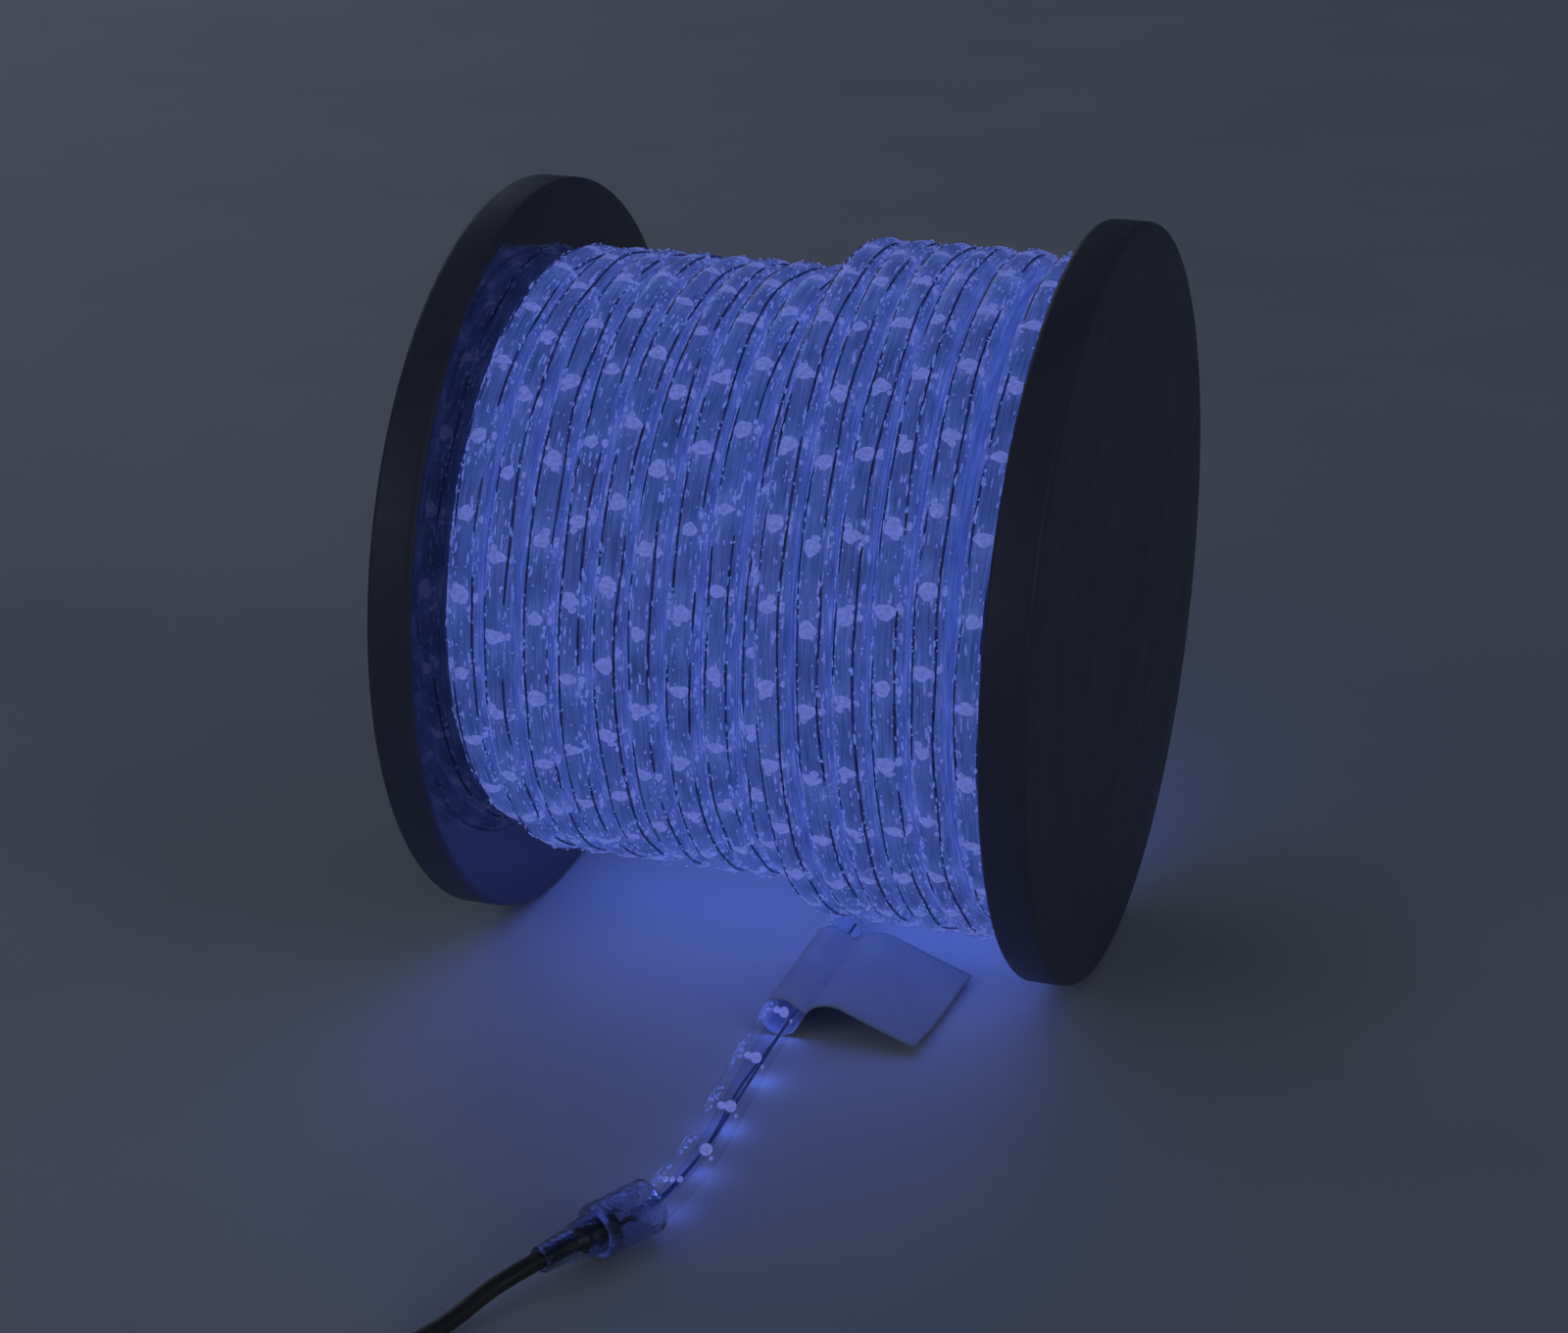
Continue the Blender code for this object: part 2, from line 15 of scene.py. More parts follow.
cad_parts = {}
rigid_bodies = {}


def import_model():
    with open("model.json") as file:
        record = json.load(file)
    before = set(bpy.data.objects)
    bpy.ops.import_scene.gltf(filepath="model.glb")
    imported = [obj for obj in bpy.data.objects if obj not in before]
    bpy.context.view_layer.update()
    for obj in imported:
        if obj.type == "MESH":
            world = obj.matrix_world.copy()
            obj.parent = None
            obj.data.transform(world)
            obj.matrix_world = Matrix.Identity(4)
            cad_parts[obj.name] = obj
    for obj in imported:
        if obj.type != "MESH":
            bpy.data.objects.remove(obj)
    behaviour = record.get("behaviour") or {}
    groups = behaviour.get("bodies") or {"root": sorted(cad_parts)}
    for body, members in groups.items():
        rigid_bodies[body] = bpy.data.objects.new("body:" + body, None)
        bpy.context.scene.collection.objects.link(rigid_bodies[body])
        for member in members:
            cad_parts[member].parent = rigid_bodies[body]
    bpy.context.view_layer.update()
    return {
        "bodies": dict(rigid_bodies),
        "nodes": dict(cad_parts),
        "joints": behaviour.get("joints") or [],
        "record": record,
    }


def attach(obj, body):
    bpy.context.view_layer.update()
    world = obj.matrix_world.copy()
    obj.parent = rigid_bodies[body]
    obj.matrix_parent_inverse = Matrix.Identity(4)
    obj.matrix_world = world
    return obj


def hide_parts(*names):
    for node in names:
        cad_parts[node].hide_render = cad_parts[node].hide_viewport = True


UP = Vector((0.0, 0.0, 1.0))

# Camera, fitted to the photograph
CAMERA_AZIMUTH = math.radians(18.14)
CAMERA_ELEVATION = math.radians(21.31)
CAMERA_DISTANCE = 1.2538
CAMERA_AIM = Vector((-0.0100, 0.0, 0.0942))
CAMERA_LENS = 80.85
SENSOR_WIDTH = 36.0

# The spool and its winding, with the sizes of the part's source
FIT_GAP = 0.0003
ROPE_RADIUS = 0.00635
AXIS_HEIGHT = 0.131
SPOOL_AXIS = Vector((1.0, 0.0, 0.0))
SPOOL_MIDDLE = Vector((0.0, 0.0, AXIS_HEIGHT))
INNER_HALF = 0.09555
FLANGE_THICKNESS = 0.0158
FLANGE_RADIUS = 0.131
FLANGE_EDGE = 0.0024
LAYER_RISE = 0.0107
FULL_CENTRE = 0.10185
TOP_CENTRE = FULL_CENTRE + LAYER_RISE
STEP_X = 0.01585

# The loose end and its tag
TAIL_X = 0.0207
TAIL_HEIGHT = 0.00725
TAIL_START_Y = -0.0212
TAG_RADIUS = 0.00705
TAG_START_Y = -0.0382
TAG_WIDTH = 0.060
TAG_REACH = 0.042
TAG_TIP_HEIGHT = 0.0024
TAG_FILM = 0.0002

# The connector, from its mouth on
CONNECTOR_TURN = math.radians(26)
CONNECTOR_AXIS = Vector((-math.sin(CONNECTOR_TURN), -math.cos(CONNECTOR_TURN), 0.0))
CONNECTOR_MOUTH = Vector((0.0232, -0.2326, 0.0090))
COLLAR_RADIUS = 0.0089
COLLAR_LENGTH = 0.023
ROPE_IN_COLLAR = 0.0089
PIN_START = ROPE_IN_COLLAR + FIT_GAP
PIN_LENGTH = 0.0068
PIN_SPACING = 0.0047
FERRULE_START = PIN_START + PIN_LENGTH + FIT_GAP
FERRULE_LENGTH = 0.0141
FERRULE_RADIUS = 0.0042
CORD_START = FERRULE_START + FERRULE_LENGTH + FIT_GAP
SLEEVE_IN_COLLAR = 0.0052
SLEEVE_START = COLLAR_LENGTH - SLEEVE_IN_COLLAR
SLEEVE_SHOULDER = 0.0073
SLEEVE_LENGTH = 0.0272
SLEEVE_END = SLEEVE_START + SLEEVE_LENGTH
SLEEVE_END_RADIUS = 0.0043
STRAIGHT_OUT = 0.003

# The power cord and its coil, whose turns are (cord widths outwards, layer) in the order of winding
CORD_DIAMETER = 0.0056
CORD_RADIUS = CORD_DIAMETER / 2
COIL_CENTRE = Vector((-0.0314, -0.3930, 0.0))
COIL_MEAN_RADIUS = 0.032
COIL_BESIDE = 0.0435
COIL_LOW = 0.0040
COIL_TURNS = 6.5
COIL_LAYER_RISE = 0.00485
COIL_ENTRY_ANGLE = math.radians(120)
COIL_SLOTS = ((1, 0), (0, 0), (-1, 0), (-0.5, 1), (0.5, 1), (0, 2))
TIE_ANGLE = math.radians(205)
TIE_WIDTH = 0.004
TIE_STRAND_RADIUS = 0.0006
TIE_TWIST_RADIUS = 0.0009
HULL_STEPS = 40

# The plug
PLUG_HEADING = math.radians(40)
PLUG_AXIS = Vector((math.cos(PLUG_HEADING), math.sin(PLUG_HEADING), 0.0))
PLUG_ACROSS = Vector((-PLUG_AXIS.y, PLUG_AXIS.x, 0.0))
PLUG_BACK = Vector((0.0314, -0.4030, 0.0076))
PLUG_LENGTH = 0.034
PLUG_WIDTH = 0.026
PLUG_THICKNESS = 0.015
PLUG_BACK_WIDTH = 0.015
PLUG_BACK_THICKNESS = 0.011
BLADE_LENGTH = 0.016
BLADE_HEIGHT = 0.0063
BLADE_THICKNESS = 0.0015
BLADE_SPACING = 0.0127
BLADE_BEVEL = 0.0002
BLADE_TIP = 0.0022
BLADE_HOLE_RADIUS = 0.0013
BLADE_HOLE_ALONG = BLADE_LENGTH - 0.0042
PRONG_HANDS = (-1, 1)
RELIEF_LENGTH = 0.022
RELIEF_RADIUS = 0.00475
RELIEF_END_RADIUS = 0.0037

# How the rope lies: each turn's place along the axis where it crosses the front, read off the photograph
FRONT_ANGLE = 110
FULL_LAYER_TURNS = (-0.0882, -0.0742, -0.0612, -0.0486, -0.0359, -0.0234, -0.0108, 0.0022, 0.0150, 0.0278)
FULL_LAYER_BOW = 0.0016
FULL_LAYER_BOW_ANGLE = 30
TOP_LAYER_LOW_ANGLE = 80
TOP_LAYER_LOW = (0.0888, 0.0749, 0.0623, 0.0498, 0.0373, 0.0236)
TOP_LAYER_HIGH_ANGLE = 150
TOP_LAYER_HIGH = (0.0889, 0.0726, 0.0589, 0.0457, 0.0331, 0.0205)
AGAINST_FLANGE = 0.0889
PEEL_ANGLE = 330
PEEL_X = 0.0145
ROPE_STEP = 0.004
RUN_IN = 300
FULL_LAYER_RUN_ON = 120

# The middle line of the flag on the tag
FLAG_ROOT_X = TAIL_X + TAG_RADIUS - 0.0006
FLAG_CREST = Vector((0.0372, 0.0152))
FLAG_PAST_CREST = FLAG_CREST + Vector((0.004, -0.0016))
FLAG_CREST_AT = 0.45

# Where a lamp crosses the front on each turn, read off the photograph, and the lamps on a turn
FULL_LAYER_LAMPS = (99.5, 107.4, 111.4, 115.2, 119.4, 125.9, 130.4, 134.6, 139.0, 143.5)
FULL_LAMPS_A_TURN = 25
TOP_LAYER_LAMPS = (92.5, 96.8, 93.5, 91.5, 88.8, 91.3)
TOP_LAMPS_A_TURN = 28
TAIL_LAMPS_Y = (-0.0320, -0.0640, -0.0963, -0.1298, -0.1637, -0.1938, -0.2186)
TAIL_LIGHTS_ASIDE = (0.0015, 0.0015, 0.0012, 0.0032, 0.0006, -0.0002, -0.0012)

# The lower turns that show between the upper ones
FULL_BED_END = 0.034
TOP_BED_START = 0.026
BED_SINK = 0.0042
BED_BOTTOM = 0.012
BED_RIPPLE = 0.0007

# What is inside the rope
BODY_RADIUS = 0.0059
LAMP_TOP = 0.00608
LAMP_FOOT = 0.00572
WIRE_LEAN = math.radians(38)
WIRE_RADIUS = 0.00048
WIRE_SINK = 0.00008
ROUND_LAMP = (0.0031, 0.0029)
WIDE_LAMP = (0.0040, 0.0026)
SECOND_LAMP = (0.0016, 0.0014)
SPLASH = (0.0011, 0.0015)
GLINTS_A_LAMP = 36
WALL_GLINTS_A_LAMP = 14

# The loose end's wires: their place beside its middle line, as (share of its length, place), then the height
# of each and how far it bows out where they part
TAIL_WIRE_LINE = (
    (0.0, 0.0030), (0.30, 0.0040), (0.50, 0.0036), (0.66, 0.0020), (0.82, 0.0004), (1.0, -0.0006),
)
TAIL_WIRES = ((0.0002, 0.0), (-0.0036, 0.0016))
WIRES_PART_AT = 0.56
TAIL_LAMP_HEIGHT = UP * 0.0022

# Where round the loose end's skin its painted glow shows, as a share of a turn
PAINTED_GLOW_SIDE = 0.36

# Faint rings on the flanges' outer faces
RING_RADII = (0.045, 0.068, 0.080, 0.1163)
RING_DEPTH = 0.00006
RING_WIDTH = 0.0014

# Light from the rope
GLOW_COLOR = (0.13, 0.225, 1.0)
WINDING_POWER = 1.30
LIGHT_GAP = 0.0008
TAIL_LAMP_POWER = 0.0019

# Dim studio light from far off: its place, width, height, power and colour
STUDIO_LIGHTS = {
    "key": ((-2.4, -3.4, 1.7), 2.6, 1.8, 9.0, (0.76, 0.85, 1.0)),
    "fill": ((3.6, -1.6, 1.5), 2.4, 1.8, 8.2, (0.72, 0.82, 1.0)),
    "back": ((-2.7, 2.9, 1.8), 2.6, 1.8, 7.0, (0.72, 0.82, 1.0)),
}
STUDIO_AIM = Vector((0.0, 0.0, 0.1))
SKY_COLOR = (0.50, 0.64, 1.0, 1.0)
SKY_STRENGTH = 0.060
FLOOR_HALF = 6.0

SEED = 7

# The outline of a dome, as (share of its radius, share of its height)
ROUND_DOME = ((0.5, 0.97), (0.88, 0.72), (1.0, 0.0))
LOW_DOME = ((0.72, 0.85), (1.0, 0.0))


# Meshes

def add_object(name, data):
    """A new object in the scene."""
    made = bpy.data.objects.new(name, data)
    bpy.context.scene.collection.objects.link(made)
    return made


def make_mesh(name, verts, faces, surface, uvs=None, sharp=None):
    """A smooth mesh object. uvs has one (u, v) for each corner of each face."""
    mesh = bpy.data.meshes.new(name)
    mesh.from_pydata([tuple(vert) for vert in verts], [], faces)
    if uvs:
        layer = mesh.uv_layers.new(name="UVMap")
        layer.data.foreach_set("uv", [value for pair in uvs for value in pair])
    mesh.materials.append(surface)
    mesh.shade_smooth()
    if sharp:
        mesh.set_sharp_from_angle(angle=math.radians(sharp))
    mesh.validate()
    return add_object(name, mesh)


def circle(steps):
    """Evenly spaced (cosine, sine) pairs once round."""
    angles = [2 * math.pi * step / steps for step in range(steps)]
    return [(math.cos(angle), math.sin(angle)) for angle in angles]


def fan(tip, first, sides):
    """Triangles from a tip to a ring of points."""
    return [(tip, first + side, first + (side + 1) % sides) for side in range(sides)]


def rings_to_faces(rings, around, closed=False, start=0):
    """Quads between rings of points that lie one after another in the list of vertices."""
    faces = []
    last = rings if closed else rings - 1
    for ring in range(last):
        here = start + ring * around
        there = start + ((ring + 1) % rings) * around
        for side in range(around):
            after = (side + 1) % around
            faces.append((here + side, here + after, there + after, there + side))
    return faces


def grid_uvs(rings, around, lengths):
    """u runs once round the ring, from 0 to 1, and v is each ring's place along the piece."""
    uvs = []
    for ring in range(rings - 1):
        for side in range(around):
            left, right = side / around, (side + 1) / around
            low, high = lengths[ring], lengths[ring + 1]
            uvs += [(left, low), (right, low), (right, high), (left, high)]
    return uvs


def frames_along(points, outs):
    """The tangent, sideways and outward directions at each point."""
    frames = []
    for index, out in enumerate(outs):
        before = points[max(0, index - 1)]
        after = points[min(len(points) - 1, index + 1)]
        tangent = (after - before).normalized()
        side = tangent.cross(out).normalized()
        frames.append((tangent, side, side.cross(tangent).normalized()))
    return frames


def ring_at(centre, side, up, section):
    """A section's points round a centre."""
    return [centre + side * across + up * outward for across, outward in section]


def sweep(name, points, outs, section, surface, lengths=None, caps=False):
    """A closed section of (across, outward) pairs, carried along points. Its first point faces inwards."""
    around = len(section)
    verts = []
    for point, (_, side, out) in zip(points, frames_along(points, outs)):
        verts += ring_at(point, side, out, section)
    faces = rings_to_faces(len(points), around)
    uvs = grid_uvs(len(points), around, lengths) if lengths else None
    if caps:
        faces += [tuple(reversed(range(around))), tuple(range(len(verts) - around, len(verts)))]
        if uvs:
            uvs += [(0.5, 0.0)] * (2 * around)
    return make_mesh(name, verts, faces, surface, uvs)


def round_section(radius, sides, flat=1.0):
    """A circle, or an ellipse flattened in the outward direction, from its inner side round."""
    return [(radius * sine, -radius * flat * cosine) for cosine, sine in circle(sides)]


def lathe(name, profile, steps, surface, place, axis, sharp=30, wave=None):
    """Turns a closed profile of (radius, along) pairs round a level axis. wave scales the radius."""
    second = axis.cross(UP)
    verts = []
    for step in range(steps):
        angle = 2 * math.pi * step / steps
        arm = UP * math.cos(angle) + second * math.sin(angle)
        for radius, along in profile:
            scale = wave(angle, along) if wave else 1.0
            verts.append(place + axis * along + arm * radius * scale)
    faces = [face[::-1] for face in rings_to_faces(steps, len(profile), closed=True)]
    made = make_mesh(name, verts, faces, surface, sharp=sharp)
    merge_close(made)
    return made


def merge_close(made):
    """Joins the vertices that a profile leaves on its axis."""
    bm = bmesh.new()
    bm.from_mesh(made.data)
    bmesh.ops.remove_doubles(bm, verts=bm.verts, dist=1e-6)
    bmesh.ops.recalc_face_normals(bm, faces=bm.faces)
    bm.to_mesh(made.data)
    bm.free()


def add_blob(verts, faces, centre, pole, first, second, rows, sides):
    """Adds an ellipsoid. pole, first and second are its half-axes."""
    start = len(verts)
    verts.append(centre + pole)
    for row in range(1, rows):
        tilt = math.pi * row / rows
        wide = math.sin(tilt)
        verts += ring_at(centre + pole * math.cos(tilt), first * wide, second * wide, circle(sides))
    end = len(verts)
    verts.append(centre - pole)
    faces += fan(start, start + 1, sides)
    below = rings_to_faces(rows - 1, sides, start=start + 1) + fan(end, end - sides, sides)
    faces += [face[::-1] for face in below]


def add_blister(
    verts, faces, chance, place, frame, lean, along, half_wide, half_long,
    sides=14, point=0.0, rings=ROUND_DOME,
):
    """Adds a low ragged dome on the rope's body, lean radians round it. point draws its sides out to tips."""
    tangent, side, out = frame
    start = len(verts)
    first_phase, second_phase = chance.uniform(0.0, 6.3), chance.uniform(0.0, 6.3)

    def on_rope(across, ahead, radius):
        turn = lean + across / BODY_RADIUS
        return place + tangent * (along + ahead) + (side * math.sin(turn) + out * math.cos(turn)) * radius

    verts.append(on_rope(0.0, 0.0, LAMP_TOP))
    for share, height in rings:
        radius = LAMP_FOOT + (LAMP_TOP - LAMP_FOOT) * height
        for step, (cosine, sine) in enumerate(circle(sides)):
            angle = 2 * math.pi * step / sides
            ragged = 1 + 0.09 * math.sin(3 * angle + first_phase) + 0.07 * math.sin(5 * angle + second_phase)
            across = half_wide * cosine * (1 + point * (abs(cosine) ** 3 - 0.5)) * ragged
            ahead = half_long * sine * (1 - point * abs(cosine)) * ragged
            verts.append(on_rope(across * share, ahead * share, radius))
    faces += fan(start, start + 1, sides)
    faces += rings_to_faces(len(rings), sides, start=start + 1)


def hermite(start, leaving, goal, arriving, t):
    """A point on the smooth curve between two points with the directions that it has there."""
    return (
        start * (2 * t**3 - 3 * t**2 + 1) + leaving * (t**3 - 2 * t**2 + t)
        + goal * (3 * t**2 - 2 * t**3) + arriving * (t**3 - t**2)
    )


def smooth_points(knots, spacing, parts=24):
    """Evenly spaced points on a smooth curve through all knots but the first and the last."""
    dense = []
    for before, first, second, after in zip(knots, knots[1:], knots[2:], knots[3:]):
        leaving, arriving = (second - before) / 2, (after - first) / 2
        dense += [hermite(first, leaving, second, arriving, part / parts) for part in range(parts)]
    dense.append(knots[-2])
    return evenly(dense, spacing)


def lengths_along(points):
    """How far along the line each point is."""
    travel = [0.0]
    for first, second in zip(points, points[1:]):
        travel.append(travel[-1] + (second - first).length)
    return travel


def stretch_of(marks, wanted):
    """Which stretch between rising marks holds a value, and how far along that stretch it is, as a share."""
    at = min(max(bisect.bisect_right(marks, wanted) - 1, 0), len(marks) - 2)
    return at, (wanted - marks[at]) / (marks[at + 1] - marks[at])


def evenly(points, spacing):
    """The same line with evenly spaced points."""
    travel = lengths_along(points)
    count = max(2, math.ceil(travel[-1] / spacing))
    made = []
    for index in range(count + 1):
        at, share = stretch_of(travel, travel[-1] * index / count)
        made.append(points[at].lerp(points[at + 1], share))
    return made


def bezier(controls, share):
    """A point on a flat curve with four control points."""
    weights = ((1 - share) ** 3, 3 * share * (1 - share) ** 2, 3 * share**2 * (1 - share), share**3)
    return sum((control * weight for control, weight in zip(controls, weights)), Vector((0.0, 0.0)))


def ease(share):
    """A share from 0 to 1 that starts and ends slowly."""
    share = min(1.0, max(0.0, share))
    return share * share * (3 - 2 * share)


# Nodes

def put(socket, value):
    """Links a socket to another one, or sets its value."""
    if isinstance(value, bpy.types.NodeSocket):
        socket.id_data.links.new(value, socket)
    else:
        socket.default_value = value


def feed(node, **inputs):
    """Sets a node's inputs. Their names are in lower case with underscores."""
    for key, value in inputs.items():
        put(node.inputs[key.replace("_", " ").title().replace("Ior", "IOR")], value)


def add_node(tree, kind, *values, **inputs):
    """A new shader node, with its inputs set in their order or by name."""
    made = tree.nodes.new(f"ShaderNode{kind}")
    for socket, value in zip(made.inputs, values):
        put(socket, value)
    feed(made, **inputs)
    return made


def calc(tree, operation, *values):
    made = add_node(tree, "Math", *values)
    made.operation = operation
    return made.outputs[0]


def total(tree, *values):
    return functools.reduce(lambda so_far, value: calc(tree, "ADD", so_far, value), values)


def product(tree, *values):
    return functools.reduce(lambda so_far, value: calc(tree, "MULTIPLY", so_far, value), values)


def apart(tree, first, second):
    """The distance between two values."""
    return calc(tree, "ABSOLUTE", calc(tree, "SUBTRACT", first, second))


def grain(tree, vector, scale, detail=3.0, roughness=0.55):
    """A noise value from 0 to 1."""
    made = add_node(tree, "TexNoise", vector=vector, scale=scale, detail=detail, roughness=roughness)
    return made.outputs["Fac"]


def stretched(tree, vector, *scale):
    return add_node(tree, "Mapping", vector=vector, scale=scale).outputs["Vector"]


def spread(tree, value, low, high, to_low=0.0, to_high=1.0, smooth=False):
    """Maps low..high to to_low..to_high."""
    made = add_node(tree, "MapRange", value=value, from_min=low, from_max=high, to_min=to_low, to_max=to_high)
    if smooth:
        made.interpolation_type = "SMOOTHSTEP"
    return made.outputs["Result"]


def ramp(tree, value, *stops):
    """A colour for a value. stops are (place, (red, green, blue))."""
    made = add_node(tree, "ValToRGB", value)
    elements = made.color_ramp.elements
    while len(elements) < len(stops):
        elements.new(0.5)
    for element, (place, color) in zip(elements, stops):
        element.position = place
        element.color = (*color, 1.0)
    return made.outputs["Color"]


def noise_color(tree, noise_value, dark, light):
    """A blend of two colours over the usual span of a noise."""
    return ramp(tree, noise_value, (0.3, dark), (0.7, light))


def noise_range(tree, noise_value, low, high):
    """Maps the usual span of a noise to low..high."""
    return spread(tree, noise_value, 0.3, 0.7, low, high)


def bump(tree, height, strength, distance):
    return add_node(tree, "Bump", strength=strength, distance=distance, height=height).outputs["Normal"]


def place_of(tree, kind="Object"):
    return add_node(tree, "TexCoord").outputs[kind]


def facing_away(tree, **inputs):
    """0 where a surface faces the eye, and 1 where it is seen edge on."""
    return add_node(tree, "LayerWeight", blend=0.5, **inputs).outputs["Facing"]


def from_lamp(tree, along):
    """How far a place along the rope is from the nearest lamp. Lamps are at whole numbers."""
    return apart(tree, calc(tree, "FRACT", calc(tree, "ADD", along, 0.5)), 0.5)


# Materials

def new_material(name, **settings):
    """A material with a Principled shader. Returns it, its node tree and the shader."""
    made = bpy.data.materials.new(name)
    made.use_nodes = True
    shader = made.node_tree.nodes["Principled BSDF"]
    feed(shader, **settings)
    return made, made.node_tree, shader


def moulded(name, dark, light, gloss, grain_scale, grain_depth, **settings):
    """Moulded plastic or vinyl: a slightly uneven colour and gloss over a fine grain."""
    made, tree, shader = new_material(name, **settings)
    where = place_of(tree)
    feed(
        shader,
        base_color=noise_color(tree, grain(tree, where, 45.0), dark, light),
        roughness=noise_range(tree, grain(tree, where, 130.0, 4.0), *gloss),
        normal=bump(tree, grain(tree, where, grain_scale, 4.0), 0.35, grain_depth),
    )
    return made


def flange_material():
    # The base is lighter and bluer than black plastic: painted light, for the blue glow and dim light that
    # fall on the outer faces.
    dark, light = (0.092, 0.094, 0.130), (0.106, 0.108, 0.148)
    return moulded("flange_black_painted_light", dark, light, (0.42, 0.52), 900.0, 0.00010, specular_ior_level=0.45)


def flange_inner_material():
    dark, light = (0.014, 0.015, 0.020), (0.020, 0.021, 0.027)
    return moulded("flange_inner_black", dark, light, (0.07, 0.14), 260.0, 0.00006, specular_ior_level=1.0)


def core_material():
    return moulded("barrel_grey", (0.04, 0.04, 0.045), (0.06, 0.06, 0.065), (0.5, 0.65), 700.0, 0.0001)


def cord_material():
    dark, light = (0.046, 0.042, 0.036), (0.060, 0.054, 0.045)
    return moulded("cord_brown_vinyl", dark, light, (0.34, 0.46), 1400.0, 0.00006)


def plug_material():
    dark, light = (0.034, 0.030, 0.024), (0.046, 0.041, 0.033)
    return moulded("plug_brown_vinyl", dark, light, (0.42, 0.55), 1100.0, 0.00010)


def tie_material():
    return moulded("tie_black", (0.014, 0.014, 0.014), (0.024, 0.024, 0.024), (0.28, 0.40), 1600.0, 0.00005)


def wire_material():
    """Dark wire seen through lit vinyl. Its emission paints on it a little of the vinyl's blue glow, though a
    wire gives no light.
    """
    made, tree, shader = new_material(
        "bus_wire", roughness=0.4, specular_ior_level=0.2, emission_strength=1.0
    )
    cloud = grain(tree, place_of(tree), 240.0)
    deep, pale = (0.003, 0.006, 0.032), (0.012, 0.022, 0.115)
    feed(
        shader,
        base_color=noise_color(tree, cloud, deep, pale),
        # Painted glow: the lit vinyl's blue, put into the wire's emission.
        emission_color=ramp(tree, cloud, (0.35, deep), (0.70, pale)),
    )
    return made


def brass_material(name, dark, light):
    made, tree, shader = new_material(name, metallic=1.0)
    where = place_of(tree)
    scratches = grain(tree, stretched(tree, where, 200.0, 200.0, 2500.0), 1.0)
    feed(
        shader,
        base_color=noise_color(tree, grain(tree, where, 320.0, 4.0), dark, light),
        roughness=noise_range(tree, scratches, 0.2, 0.4),
        normal=bump(tree, scratches, 0.2, 0.00004),
    )
    return made


def shell_material(name, tint, gloss, rim, painted_glow=False):
    """Clear vinyl as a thin skin: it lets everything behind it through and adds its gloss.

    rim is how much it shines where it is seen edge on. When the last argument is set, its emission also
    paints a speckled glow beside each lamp on its left side and top.
    """
    made = bpy.data.materials.new(name)
    made.use_nodes = True
    tree = made.node_tree
    tree.nodes.clear()
    where = place_of(tree)
    normal = bump(tree, grain(tree, where, 260.0), 0.35, 0.0006)
    clear = add_node(tree, "BsdfTransparent", color=(*tint, 1.0))
    rough = noise_range(tree, grain(tree, where, 90.0), 0.16, 0.30)
    shine = add_node(tree, "BsdfGlossy", color=(gloss, gloss, gloss, 1.0), roughness=rough, normal=normal)
    edge = product(tree, calc(tree, "POWER", facing_away(tree, normal=normal), 4.0), rim)
    surface = add_node(tree, "MixShader", calc(tree, "ADD", edge, 0.02), clear.outputs[0], shine.outputs[0])
    if painted_glow:
        # Painted glow: emission beside each lamp on the skin's left side and top.
        glow = add_node(tree, "Emission", color=(0.09, 0.14, 0.62, 1.0), strength=painted_wall_glow(tree))
        surface = add_node(tree, "AddShader", surface.outputs[0], glow.outputs[0])
    add_node(tree, "OutputMaterial", surface.outputs[0])
    return made


def painted_wall_glow(tree):
    """Painted glow in the loose end's wall beside each lamp, speckled, put into the skin's emission. u is the
    place round the skin, v along it.
    """
    u, v, _ = add_node(tree, "SeparateXYZ", place_of(tree, "UV")).outputs
    near = spread(tree, from_lamp(tree, v), 0.30, 0.04, smooth=True)
    side = spread(tree, apart(tree, u, PAINTED_GLOW_SIDE), 0.15, 0.02, smooth=True)
    speckle = spread(tree, grain(tree, place_of(tree), 620.0), 0.50, 0.66)
    return product(tree, near, side, total(tree, product(tree, speckle, 0.75), 0.12))


def fitting_material():
    """The connector's thick clear vinyl, which bends what is seen through it."""
    made, tree, shader = new_material(
        "connector_clear_vinyl", transmission_weight=1.0, ior=1.38, base_color=(0.72, 0.77, 0.92, 1.0),
        specular_ior_level=0.3,
    )
    where = place_of(tree)
    feed(
        shader,
        roughness=noise_range(tree, grain(tree, where, 200.0), 0.05, 0.20),
        normal=bump(tree, grain(tree, where, 420.0), 0.6, 0.0010),
    )
    return made


